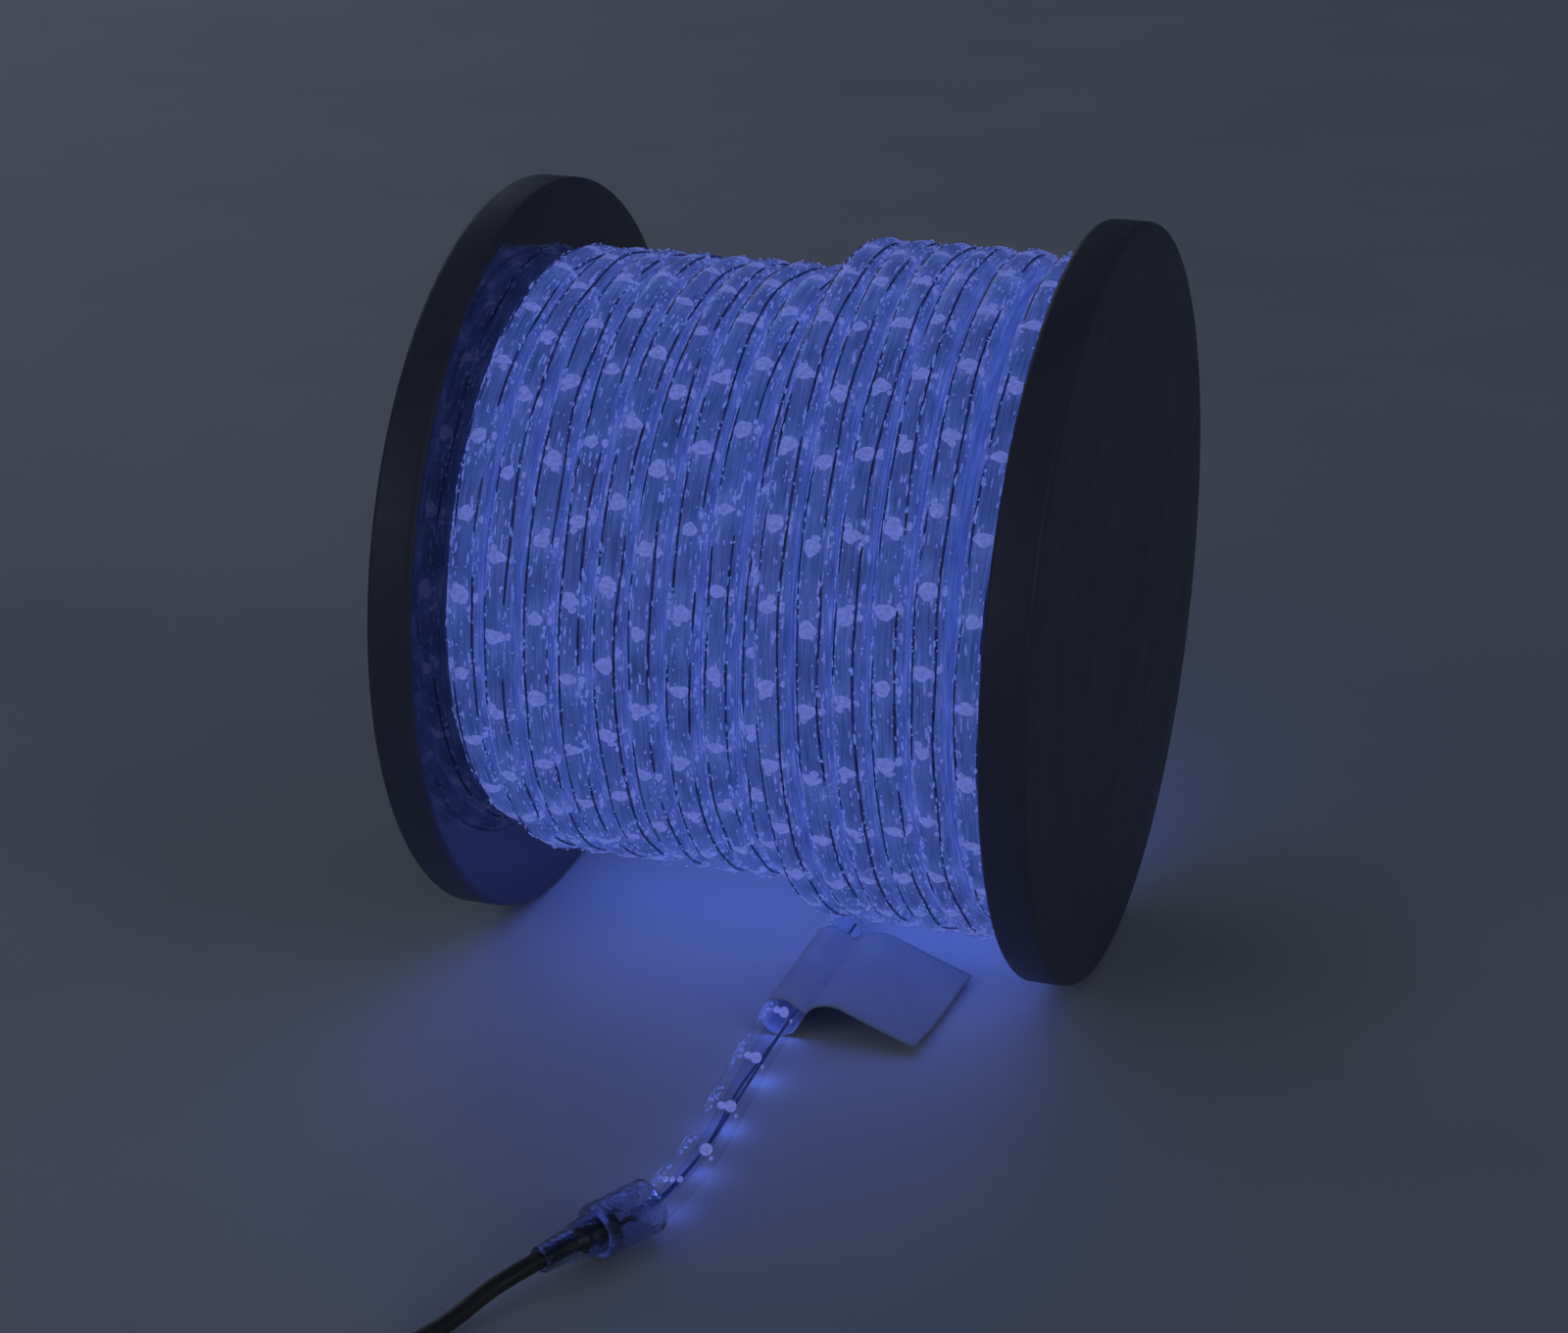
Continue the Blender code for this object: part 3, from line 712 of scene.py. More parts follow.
def lit_body_material():
    """The rope's inside as clear vinyl shows it. u is 0.5 on the outer side, and lamps are at whole v."""
    made, tree, shader = new_material(
        "rope_lit_body", base_color=(0.03, 0.05, 0.20, 1.0), roughness=0.4, specular_ior_level=0.2,
        emission_strength=1.0,
    )
    where = place_of(tree, "UV")
    u, v, _ = add_node(tree, "SeparateXYZ", where).outputs
    turn = product(tree, calc(tree, "SUBTRACT", u, 0.5), 2 * math.pi)
    sides = spread(tree, calc(tree, "ABSOLUTE", calc(tree, "SINE", turn)), 0.45, 0.80, smooth=True)
    glow = spread(tree, from_lamp(tree, v), 0.40, 0.06, smooth=True)
    cloud = grain(tree, stretched(tree, where, 3.0, 1.6, 1.0), 1.0)
    streaks = grain(tree, stretched(tree, where, 46.0, 1.6, 1.0), 1.0, 4.0, 0.6)
    glints = grain(tree, stretched(tree, where, 70.0, 9.0, 1.0), 1.0, 2.0)
    # The level of the rope's own glow. Two terms are painted light: the glints term paints bright marks on
    # the sides, and the last term brightens the body where it is seen edge on.
    level = total(
        tree,
        0.30,
        product(tree, sides, 0.02),
        product(tree, glow, 0.12),
        product(tree, calc(tree, "SUBTRACT", cloud, 0.5), 0.8),
        product(tree, calc(tree, "SUBTRACT", streaks, 0.5), spread(tree, sides, 0.0, 1.0, 1.2, 1.6)),
        product(tree, spread(tree, glints, 0.60, 0.72), spread(tree, sides, 0.0, 1.0, 0.14, 0.40)),
        product(tree, calc(tree, "POWER", facing_away(tree), 2.0), 0.20),
    )
    feed(shader, emission_color=ramp(
        tree,
        level,
        (0.0, (0.0155, 0.034, 0.138)),
        (0.35, (0.035, 0.065, 0.265)),
        (0.60, (0.055, 0.093, 0.354)),
        (1.0, (0.125, 0.175, 0.522)),
    ))
    return made


def bed_material():
    """The lower turns' blurred glow."""
    made, tree, shader = new_material(
        "rope_bed_glow", base_color=(0.03, 0.05, 0.2, 1.0), roughness=0.5, emission_strength=1.0
    )
    cloud = grain(tree, stretched(tree, place_of(tree), 420.0, 60.0, 60.0), 1.0, 4.0)
    feed(shader, emission_color=ramp(
        tree,
        cloud,
        (0.3, (0.020, 0.040, 0.200)),
        (0.55, (0.040, 0.074, 0.330)),
        (0.75, (0.065, 0.110, 0.440)),
    ))
    return made


def lamp_material(name, color, strength):
    """What glows in one colour, a little unevenly."""
    made, tree, shader = new_material(name, roughness=0.2, emission_strength=strength)
    cloud = grain(tree, place_of(tree), 700.0, 2.0)
    deep = tuple(part * 0.85 for part in color)
    pale = tuple(min(1.0, part * 1.15) for part in color)
    feed(
        shader,
        emission_color=ramp(tree, cloud, (0.35, deep), (0.65, pale)),
        base_color=ramp(tree, cloud, (0.35, (0.10, 0.12, 0.3)), (0.65, (0.14, 0.17, 0.4))),
    )
    return made


def tag_material():
    made, tree, shader = new_material("tag_white_vinyl_painted_shade", specular_ior_level=0.5)
    where = place_of(tree)
    # The film is white, but its base colour is a mid grey: painted shade, which keeps the tag darker than the
    # floor round it.
    feed(
        shader,
        base_color=noise_color(tree, grain(tree, where, 60.0), (0.46, 0.47, 0.50), (0.53, 0.54, 0.57)),
        roughness=noise_range(tree, grain(tree, where, 180.0), 0.26, 0.40),
        normal=bump(tree, grain(tree, where, 170.0, 2.0), 0.5, 0.0007),
    )
    return made


def floor_material():
    made, tree, shader = new_material("floor_pale", specular_ior_level=0.3, roughness=0.6)
    where = place_of(tree)
    feed(
        shader,
        base_color=noise_color(tree, grain(tree, where, 6.0, 5.0), (0.66, 0.66, 0.67), (0.72, 0.72, 0.73)),
        normal=bump(tree, grain(tree, where, 900.0), 0.15, 0.0003),
    )
    return made


def rope_looks():
    """The materials of the wound rope and of its loose end."""
    lamp_blue, glint_blue = (0.191, 0.250, 0.84), (0.180, 0.246, 0.84)
    return {
        "body": lit_body_material(),
        "wire": wire_material(),
        "lamp": lamp_material("lamp_glow", lamp_blue, 0.56),
        "glint": lamp_material("glint_glow", glint_blue, 0.56),
        "shell": shell_material("rope_clear_vinyl", (0.97, 0.98, 1.0), 0.8, 0.30),
        "bed": bed_material(),
        "tail_shell": shell_material("tail_clear_vinyl", (0.98, 0.985, 1.0), 0.8, 0.35, painted_glow=True),
        "tail_lamp": lamp_material("tail_lamp_glow", (0.237, 0.300, 0.99), 0.48),
        "tail_wall_glint": lamp_material("tail_wall_glint_glow", (0.18, 0.25, 1.0), 0.46),
        "tail_core": shell_material("tail_core_vinyl", (0.90, 0.93, 1.0), 0.6, 0.25),
    }


# The rope's route

def between(knots, place):
    """A straight reading between (place, value) knots, level past their ends."""
    if place <= knots[0][0]:
        return knots[0][1]
    for (low, first), (high, second) in zip(knots, knots[1:]):
        if place <= high:
            return first + (second - first) * (place - low) / (high - low)
    return knots[-1][1]


def softened(reading, place, reach=24.0, steps=4):
    """The mean of a reading over nearby places."""
    values = [reading(place + reach * step / steps) for step in range(-steps, steps + 1)]
    return sum(values) / len(values)


def full_layer_x():
    """Where along the axis the full layer's rope lies, for an angle. Each turn bows a little at the front."""
    knots = []
    for turn, x in enumerate(FULL_LAYER_TURNS):
        middle = FRONT_ANGLE + 360 * turn
        side = max(-AGAINST_FLANGE, x - FULL_LAYER_BOW)
        for bow_angle, beside in ((-FULL_LAYER_BOW_ANGLE, side), (0, x), (FULL_LAYER_BOW_ANGLE, side)):
            knots.append((middle + bow_angle, beside))
    return functools.partial(softened, functools.partial(between, knots))


def top_layer_x():
    """Where along the axis the part layer's rope lies, for an angle."""
    knots = []
    for turn, (low, high) in enumerate(zip(TOP_LAYER_LOW, TOP_LAYER_HIGH)):
        knots += [(TOP_LAYER_LOW_ANGLE + 360 * turn, low), (TOP_LAYER_HIGH_ANGLE + 360 * turn, high)]
    knots.append((PEEL_ANGLE + 360 * (len(TOP_LAYER_LOW) - 1), PEEL_X))
    return functools.partial(softened, functools.partial(between, knots))


def climbing(x_at, first_angle, centre):
    """The radius of a layer. In the turn before it starts, the rope climbs beside its own next turn."""
    def radius(angle):
        if angle >= first_angle:
            return centre
        beside = abs(x_at(angle + 360) - x_at(angle))
        drop = math.sqrt(max(0.0, (2 * ROPE_RADIUS) ** 2 - beside**2))
        return centre - min(LAYER_RISE, drop)
    return functools.partial(softened, radius)


def outward(angle):
    """Away from the axis. Angles are in degrees from the bottom, up the front."""
    turn = math.radians(angle)
    return Vector((0.0, -math.sin(turn), -math.cos(turn)))


def wound(x_at, radius_at, start, stop):
    """Points on the spool and their outward directions, a little uneven as soft rope lies."""
    count = math.ceil(math.radians(stop - start) * FULL_CENTRE / ROPE_STEP)
    points, outs = [], []
    for index in range(count + 1):
        angle = start + (stop - start) * index / count
        out = outward(angle)
        seed = Vector((x_at(angle) * 60, angle / 40.0, 0.0))
        radius = radius_at(angle) + 0.00018 * noise.noise(seed)
        across = x_at(angle) + 0.00022 * noise.noise(seed + Vector((9.0, 3.0, 5.0)))
        points.append(Vector((across, 0.0, AXIS_HEIGHT)) + out * radius)
        outs.append(out)
    return points, outs


def full_layer():
    """The full layer's route: points, outward directions, first and last angle, and how many points."""
    x_at = full_layer_x()
    first = FRONT_ANGLE - FULL_LAYER_BOW_ANGLE
    start = first - RUN_IN
    stop = FRONT_ANGLE + 360 * (len(FULL_LAYER_TURNS) - 1) + FULL_LAYER_RUN_ON
    points, outs = wound(x_at, climbing(x_at, first, FULL_CENTRE), start, stop)
    return points, outs, start, stop, len(points)


def top_layer():
    """The part layer, whose last turn leaves the underside and runs down to the floor."""
    x_at = top_layer_x()
    first = TOP_LAYER_LOW_ANGLE - RUN_IN
    last = PEEL_ANGLE + 360 * (len(TOP_LAYER_LOW) - 1)
    points, outs = wound(x_at, climbing(x_at, TOP_LAYER_LOW_ANGLE, TOP_CENTRE), first, last)
    wound_count = len(points)
    start, goal = points[-1], Vector((TAIL_X, TAIL_START_Y, TAIL_HEIGHT))
    span = (goal - start).length
    peel = math.radians(PEEL_ANGLE)
    leaving = Vector((0.0, -math.cos(peel), math.sin(peel))) * span
    arriving = Vector((0.0, -span, 0.0))
    steps = math.ceil(span / ROPE_STEP)
    for index in range(1, steps + 1):
        share = index / steps
        point = hermite(start, leaving, goal, arriving, share)
        point.x = start.x + (goal.x - start.x) * ease(share) ** 2
        points.append(point)
        outs.append(outward(PEEL_ANGLE + (360 - PEEL_ANGLE) * share))
    return points, outs, first, last, wound_count


def on_connector(distance):
    """A place on the connector's axis, past its mouth."""
    return CONNECTOR_MOUTH + CONNECTOR_AXIS * distance


def tail_points():
    """The loose end: straight through the tag, along the floor and into the connector."""
    knots = [
        Vector((TAIL_X, TAIL_START_Y, TAIL_HEIGHT)),
        Vector((TAIL_X, -0.050, TAIL_HEIGHT)),
        Vector((TAIL_X, -0.078, TAIL_HEIGHT)),
        Vector((TAIL_X, -0.106, TAIL_HEIGHT)),
        Vector((0.0217, -0.134, 0.0069)),
        Vector((0.0237, -0.162, 0.0067)),
        Vector((0.0256, -0.188, 0.0071)),
        Vector((0.0261, -0.212, 0.0083)),
        on_connector(-STRAIGHT_OUT),
    ]
    before = 2 * knots[0] - knots[1]
    end = on_connector(ROPE_IN_COLLAR)
    points = smooth_points([before, *knots, end], 0.007)
    return [*points, end]


# The rope

def lamp_angles(front, a_turn, start, stop):
    """The angle of each lamp, evenly spaced between the places where one crosses the front."""
    crossings = [angle + 360 * turn for turn, angle in enumerate(front)]
    first = crossings[1] - crossings[0]
    last = crossings[-1] - crossings[-2]
    crossings = [crossings[0] - first, *crossings, crossings[-1] + last, crossings[-1] + 2 * last]
    angles = []
    for before, after in zip(crossings, crossings[1:]):
        angles += [before + (after - before) * lamp / a_turn for lamp in range(a_turn)]
    return [angle for angle in angles if start < angle < stop]


def lamp_travels(points, count, angles, start, stop):
    """How far along the rope each lamp is. The first count points are evenly spaced in angle."""
    travel = lengths_along(points)[:count]
    knots = [(start + (stop - start) * index / (count - 1), far) for index, far in enumerate(travel)]
    return [between(knots, angle) for angle in angles]


def rope_lengths(points, lamp_places):
    """Each point's place along the rope in lamp spacings, with the lamps at whole numbers."""
    return [sum(stretch_of(lamp_places, travel)) for travel in lengths_along(points)]


def lamp_frames(points, outs, wanted):
    """Where each lamp is, with the rope's directions there and its place along the rope."""
    travel = lengths_along(points)
    frames = frames_along(points, outs)
    places = []
    for far in wanted:
        at, share = stretch_of(travel, far)
        places.append((points[at].lerp(points[at + 1], share), frames[at], far))
    return places


def rope_twist(far):
    """How far round its own line the rope's inside is turned, in radians."""
    return 0.42 * noise.noise(Vector((far * 7.0, 2.5, 0.0)))


def lamps(name, places, surface, chance):
    """Each lamp as it shows: a ragged patch, at times with a smaller patch beside it, and painted splashes
    and glints of its light round it.
    """
    verts, faces = [], []
    for place, frame, far in places:
        blister = functools.partial(add_blister, verts, faces, chance, place, frame)
        grown = chance.uniform(0.85, 1.18)
        lean = rope_twist(far) + chance.uniform(-0.06, 0.06)
        round_one = chance.random() < 0.5
        wide, long = ROUND_LAMP if round_one else WIDE_LAMP
        point = 0.05 if round_one else chance.uniform(0.1, 0.35)
        shift = chance.uniform(-0.0009, 0.0009)
        blister(lean, shift, wide * grown, long * grown, point=point)
        if chance.random() < 0.45:
            hand = chance.choice((-1, 1))
            away = shift + chance.choice((-1, 1)) * 0.0029
            blister(lean + hand * 0.22, away, *SECOND_LAMP, sides=8)
        # Painted splashes of the lamp's light, one on either side.
        for hand in (-1, 1):
            small = chance.uniform(0.6, 1.4)
            away = hand * chance.uniform(0.80, 1.02)
            near = shift + chance.uniform(-0.0014, 0.0014)
            blister(lean + away, near, SPLASH[0] * small, SPLASH[1] * small, sides=8)
        # Painted glints: small dots of light round the lamp.
        for _ in range(4):
            size = chance.uniform(0.0005, 0.0010)
            away = chance.choice((-1, 1)) * chance.uniform(0.45, 1.25)
            near = chance.choice((-1, 1)) * chance.uniform(0.002, 0.006)
            blister(lean + away, near, size, size * 1.2, sides=6, rings=LOW_DOME)
    return make_mesh(name, verts, faces, surface)


def glints(name, places, spacing, surface, chance):
    """Painted glints: short glowing marks along the rope, where its vinyl catches the lamps' light, many of
    them by the wires.
    """
    verts, faces = [], []
    for place, frame, far in places:
        twist = rope_twist(far)
        for _ in range(GLINTS_A_LAMP):
            hand = chance.choice((-1, 1))
            by_wire = chance.random() < 0.38
            away = WIRE_LEAN + chance.gauss(0.0, 0.16) if by_wire else chance.uniform(0.1, 1.3)
            along = spacing * chance.uniform(-0.5, 0.5)
            long = chance.uniform(0.0003, 0.0007) if chance.random() < 0.5 else chance.uniform(0.0008, 0.0026)
            wide = chance.uniform(0.00020, 0.00048)
            lean = twist + hand * away
            add_blister(verts, faces, chance, place, frame, lean, along, wide, long, sides=5, rings=LOW_DOME)
    return make_mesh(name, verts, faces, surface)


def bus_wires(name, points, outs, surface):
    """The two wires that run along the rope on either side of its lamps, not quite straight."""
    verts, faces = [], []
    section = round_section(WIRE_RADIUS, 6)
    frames = frames_along(points, outs)
    travel = lengths_along(points)
    for hand in (-1, 1):
        start = len(verts)
        for point, far, (_, side, up) in zip(points, travel, frames):
            sway = 0.22 * noise.noise(Vector((far * 30.0, hand * 4.0, 0.5)))
            sink = 0.0026 * max(0.0, noise.noise(Vector((far * 48.0, hand * 7.0, 3.5))) - 0.05)
            turn = rope_twist(far) + hand * (WIRE_LEAN + sway)
            centre = point + (side * math.sin(turn) + up * math.cos(turn)) * (BODY_RADIUS - WIRE_SINK - sink)
            verts += ring_at(centre, side, up, section)
        faces += rings_to_faces(len(points), len(section), start=start)
    return make_mesh(name, verts, faces, surface)


def wound_rope(layer, route, front, a_turn, looks, chance):
    """One layer of the wound rope: lit body, wires, lamps, glints and clear skin."""
    points, outs, start, stop, wound_count = route
    wanted = lamp_travels(points, wound_count, lamp_angles(front, a_turn, start, stop), start, stop)
    spacing = wanted[-1] - wanted[-2]
    while wanted[-1] + spacing < lengths_along(points)[-1]:
        wanted.append(wanted[-1] + spacing)
    lengths = rope_lengths(points, wanted)
    places = lamp_frames(points, outs, wanted)
    body, skin = round_section(BODY_RADIUS, 16), round_section(ROPE_RADIUS, 20)
    return [
        sweep(f"{layer}_rope_body", points, outs, body, looks["body"], lengths, caps=True),
        bus_wires(f"{layer}_rope_wires", points, outs, looks["wire"]),
        lamps(f"{layer}_rope_lamps", places, looks["lamp"], chance),
        glints(f"{layer}_rope_glints", places, spacing, looks["glint"], chance),
        sweep(f"{layer}_rope_skin", points, outs, skin, looks["shell"], lengths),
    ]


def lit_bed(looks):
    """The turns below, as far as they show between those above."""
    made = []
    for layer, left, right, centre in (
        ("full", -INNER_HALF, FULL_BED_END, FULL_CENTRE), ("top", TOP_BED_START, INNER_HALF, TOP_CENTRE)
    ):
        count = 4 * round((right - left) / (2 * ROPE_RADIUS))
        profile = []
        for index in range(count + 1):
            dip = BED_RIPPLE * math.cos(math.pi * index / 2)
            profile.append((centre - BED_SINK + dip, left + (right - left) * index / count))
        profile += [(centre - BED_BOTTOM, right), (centre - BED_BOTTOM, left)]
        name = f"{layer}_layer_bed"
        made.append(lathe(name, profile, 96, looks["bed"], SPOOL_MIDDLE, SPOOL_AXIS, sharp=60))
    return made


def flat_side(tangent):
    """The level direction across a line."""
    return UP.cross(tangent).normalized()


def tail_wires(points, surface):
    """The loose end's wires, one beyond the other as they are seen from the front, crossing once."""
    verts, faces = [], []
    section = round_section(WIRE_RADIUS, 8)
    travel = lengths_along(points)
    frames = frames_along(points, [UP] * len(points))
    for depth, bow in TAIL_WIRES:
        start = len(verts)
        for point, far, (tangent, _, _) in zip(points, travel, frames):
            flat = flat_side(tangent)
            share = far / travel[-1]
            line = softened(functools.partial(between, TAIL_WIRE_LINE), share, reach=0.06)
            beside = line + 0.61 * depth - bow * math.exp(-((share - WIRES_PART_AT) / 0.10) ** 2)
            verts += ring_at(point + flat * beside + UP * depth, flat, UP, section)
        faces += rings_to_faces(len(points), len(section), start=start)
    return make_mesh("tail_wires", verts, faces, surface)


def tail_lamp_blobs(places, chance):
    """Each lamp of the loose end as the vinyl shows it: round, with a smaller painted image beside it and a
    small painted glint lower on its right.
    """
    verts, faces = [], []
    blob = functools.partial(add_blob, verts, faces)
    for number, (place, (tangent, _, _), _) in enumerate(places, 1):
        flat = flat_side(tangent)
        if number == len(places):
            for across in (-0.0022, -0.0002, 0.0020):
                middle = place + flat * across + TAIL_LAMP_HEIGHT - tangent * across * 0.4
                blob(middle, flat * 0.0008, tangent * 0.0015, UP * 0.0009, 6, 9)
            continue
        grown = chance.uniform(0.86, 1.08)
        middle = place + TAIL_LAMP_HEIGHT + flat * (0.0008 + 0.0003 * number) + tangent * 0.0022
        blob(middle, flat * 0.0019 * grown, tangent * 0.0022 * grown, UP * 0.0019, 8, 14)
        # A smaller painted image of the lamp, to its left.
        if number != 6:
            small = chance.uniform(0.75, 1.1)
            beside = middle - flat * 0.0030 + tangent * chance.uniform(-0.0012, 0.0008)
            blob(beside, flat * 0.0014 * small, tangent * 0.0013 * small, UP * 0.0012, 6, 10)
        # A small painted glint, lower on the lamp's right.
        below = place + flat * 0.0046 + tangent * chance.uniform(0.0035, 0.0050)
        blob(below, tangent * 0.0011, flat * 0.0006, UP * 0.0007, 5, 7)
    return verts, faces


def tail_wall_glints(places, chance):
    """Faint painted glints in the loose end's left wall: small glowing dots where it catches each lamp's
    light.
    """
    verts, faces = [], []
    for place, (tangent, _, _), _ in places:
        flat = flat_side(tangent)
        for _ in range(WALL_GLINTS_A_LAMP):
            dot = chance.uniform(0.00020, 0.00060)
            lean = math.radians(chance.uniform(15, 80))
            reach = chance.uniform(0.0046, 0.0056)
            middle = place + (UP * math.cos(lean) - flat * math.sin(lean)) * reach
            middle += tangent * chance.gauss(0.001, 0.0038)
            add_blob(verts, faces, middle, flat * dot, tangent * dot * 1.4, UP * dot, 4, 6)
    return verts, faces


def make_tail(looks, chance):
    """The loose end. Returns its route, its clear skin, what is inside it and the places of its lamps."""
    points = tail_points()
    outs = [Vector((-0.3, 0.0, 0.95))] * len(points)
    knots = [(-point.y, far) for point, far in zip(points, lengths_along(points))]
    wanted = [between(knots, -y) for y in TAIL_LAMPS_Y]
    lengths = rope_lengths(points, wanted)
    skin, core = round_section(ROPE_RADIUS, 24), round_section(0.0026, 12, flat=0.7)
    clear = sweep("tail_skin", points, outs, skin, looks["tail_shell"], lengths, caps=True)
    places = lamp_frames(points, outs, wanted)
    inside = [
        make_mesh("tail_lamps", *tail_lamp_blobs(places, chance), looks["tail_lamp"]),
        tail_wires(points, looks["wire"]),
        sweep("tail_core", points, outs, core, looks["tail_core"], lengths),
        make_mesh("tail_glints", *tail_wall_glints(places, chance), looks["tail_wall_glint"]),
    ]
    return points, clear, inside, [place for place, _, _ in places]


# The spool

def flange_profile():
    """Half a section of a flange, from the middle of its outer face to the middle of its inner face."""
    half = FLANGE_THICKNESS / 2
    edge = FLANGE_EDGE
    points = [(0.0, half - RING_DEPTH)]
    for radius in RING_RADII:
        points += [
            (radius - RING_WIDTH / 2, half - RING_DEPTH),
            (radius - RING_WIDTH / 6, half),
            (radius + RING_WIDTH / 6, half),
            (radius + RING_WIDTH / 2, half - RING_DEPTH),
        ]
    for middle, turns in ((half - edge, range(90, -1, -15)), (edge - half, range(0, -91, -15))):
        for turn in turns:
            angle = math.radians(turn)
            points.append((FLANGE_RADIUS - edge + edge * math.cos(angle), middle + edge * math.sin(angle)))
    points.append((0.0, -half))
    return points


def make_flange(name, side, outer, inner):
    """One end disc. Its inner face is glossier than the rest."""
    place = Vector((side * (INNER_HALF + FLANGE_THICKNESS / 2), 0.0, AXIS_HEIGHT))
    made = lathe(f"{name}_disc", flange_profile(), 192, outer, place, SPOOL_AXIS * side, sharp=50)
    made.data.materials.append(inner)
    for face in made.data.polygons:
        if side * face.center.x < INNER_HALF + 0.0002:
            face.material_index = 1
    ride(made, "flange_plastic", name)


# The tag

def flag_point(t):
    """The flag's middle line, as (x, z): up from the rope, over a soft crest and down to its tip."""
    if t < FLAG_CREST_AT:
        root = Vector((FLAG_ROOT_X, TAIL_HEIGHT - 0.0012))
        rising = FLAG_CREST - Vector((0.0042, 0.0004))
        return bezier((root, root + Vector((0.0030, 0.0052)), rising, FLAG_PAST_CREST), t / FLAG_CREST_AT)
    tip = Vector((FLAG_ROOT_X + TAG_REACH, TAG_TIP_HEIGHT))
    falling = FLAG_PAST_CREST + Vector((0.0060, -0.0024))
    share = (t - FLAG_CREST_AT) / (1 - FLAG_CREST_AT)
    return bezier((FLAG_PAST_CREST, falling, tip + Vector((-0.010, 0.0036)), tip), share)


def tag_line(flag_steps=27, wrap_steps=39):
    """The strip's line: in along the flag's top, round the rope and out along the flag's underside."""
    above, below = Vector((0.0, 0.00012)), Vector((0.0, -0.00016))
    middle = Vector((TAIL_X, TAIL_HEIGHT))
    line = [flag_point(1 - 0.88 * step / flag_steps) + above for step in range(flag_steps + 1)]
    for step in range(wrap_steps + 1):
        angle = math.radians(52 + (340 - 52) * step / wrap_steps)
        line.append(middle + Vector((math.cos(angle), math.sin(angle))) * (TAG_RADIUS - 0.0002))
    line += [flag_point(0.06 + 0.935 * step / flag_steps) + below for step in range(flag_steps + 1)]
    return [Vector((point.x, 0.0, point.y)) for point in line]


def make_tag(surface, rows=30):
    """A blank strip of vinyl stuck round the loose end, its two ends stuck together as a flag."""
    line = evenly(tag_line(), 0.0011)
    across = len(line)
    verts, faces = [], []
    for row in range(rows + 1):
        share = row / rows
        y = TAG_START_Y - TAG_WIDTH * share
        for point in line:
            reach = max(0.0, point.x - TAIL_X - TAG_RADIUS) / TAG_REACH
            wave = 0.0005 * reach * math.sin(share * math.pi * 2.2 + 0.6) + 0.0009 * reach**2 * (share - 0.5)
            ripple = 0.00025 * reach * noise.noise(Vector((point.x * 70, y * 60, 0.0)))
            skew = 0.0035 * reach * (0.75 - share)
            verts.append(Vector((point.x + skew, y, max(0.0004, point.z + wave + ripple))))
    for row in range(rows):
        for here in range(row * across, row * across + across - 1):
            faces.append((here, here + 1, here + across + 1, here + across))
    made = make_mesh("tag_strip", verts, faces, surface)
    thick = made.modifiers.new("thickness", "SOLIDIFY")
    thick.thickness = TAG_FILM
    thick.offset = 0.0
    return made


# The connector

def wrinkled(seed, depth):
    """Scales a radius with soft rings and dents, as heat-shrunk vinyl has."""
    def wave(angle, along):
        ring = math.sin(along * 2300 + 1.5 * math.sin(angle * 2 + seed))
        dent = noise.noise(Vector((math.cos(angle) * 1.6, math.sin(angle) * 1.6, along * 260 + seed)))
        return 1.0 + depth * (0.35 * ring + 0.8 * dent)
    return wave


def graded(profile, step):
    """A closed profile with extra points on its long straight sides."""
    made = []
    for (radius, along), (next_radius, next_along) in zip(profile, profile[1:] + profile[:1]):
        count = max(1, round(math.hypot(next_radius - radius, next_along - along) / step))
        for index in range(count):
            share = index / count
            made.append((radius + (next_radius - radius) * share, along + (next_along - along) * share))
    return made


def make_collar(surface):
    """The clear collar over the rope's end."""
    outer = COLLAR_RADIUS - 0.0003
    edge = 0.0009
    bore = ROPE_RADIUS + FIT_GAP
    profile = graded([
        (outer - edge, COLLAR_LENGTH),
        (outer, COLLAR_LENGTH - edge),
        (outer, edge),
        (outer - edge, 0.0),
        (bore, 0.0),
        (bore, COLLAR_LENGTH),
    ], 0.0011)
    wave = wrinkled(2.0, 0.03)
    return lathe("collar_clear", profile, 64, surface, on_connector(0.0), CONNECTOR_AXIS, sharp=60, wave=wave)


def make_sleeve(surface):
    """The clear shrunk sleeve, which tapers down onto the cord."""
    wide = ROPE_RADIUS - 0.0002
    end = SLEEVE_END_RADIUS - 0.0001
    wide_bore, cord_bore = FERRULE_RADIUS + 0.0004, CORD_RADIUS + 0.0004
    ferrule_end = CORD_START - SLEEVE_START
    profile = graded([
        (end - 0.0004, SLEEVE_LENGTH),
        (end, SLEEVE_LENGTH - 0.0006),
        (end + 0.0003, SLEEVE_LENGTH * 0.75),
        ((wide + end) / 2 + 0.0004, SLEEVE_LENGTH * 0.48),
        (wide, SLEEVE_SHOULDER),
        (wide, 0.0),
        (wide_bore, 0.0),
        (wide_bore, ferrule_end),
        (cord_bore, ferrule_end + 0.0008),
        (cord_bore, SLEEVE_LENGTH),
    ], 0.0010)
    place = on_connector(SLEEVE_START)
    wave = wrinkled(5.0, 0.045)
    return lathe("sleeve_clear", profile, 56, surface, place, CONNECTOR_AXIS, sharp=60, wave=wave)


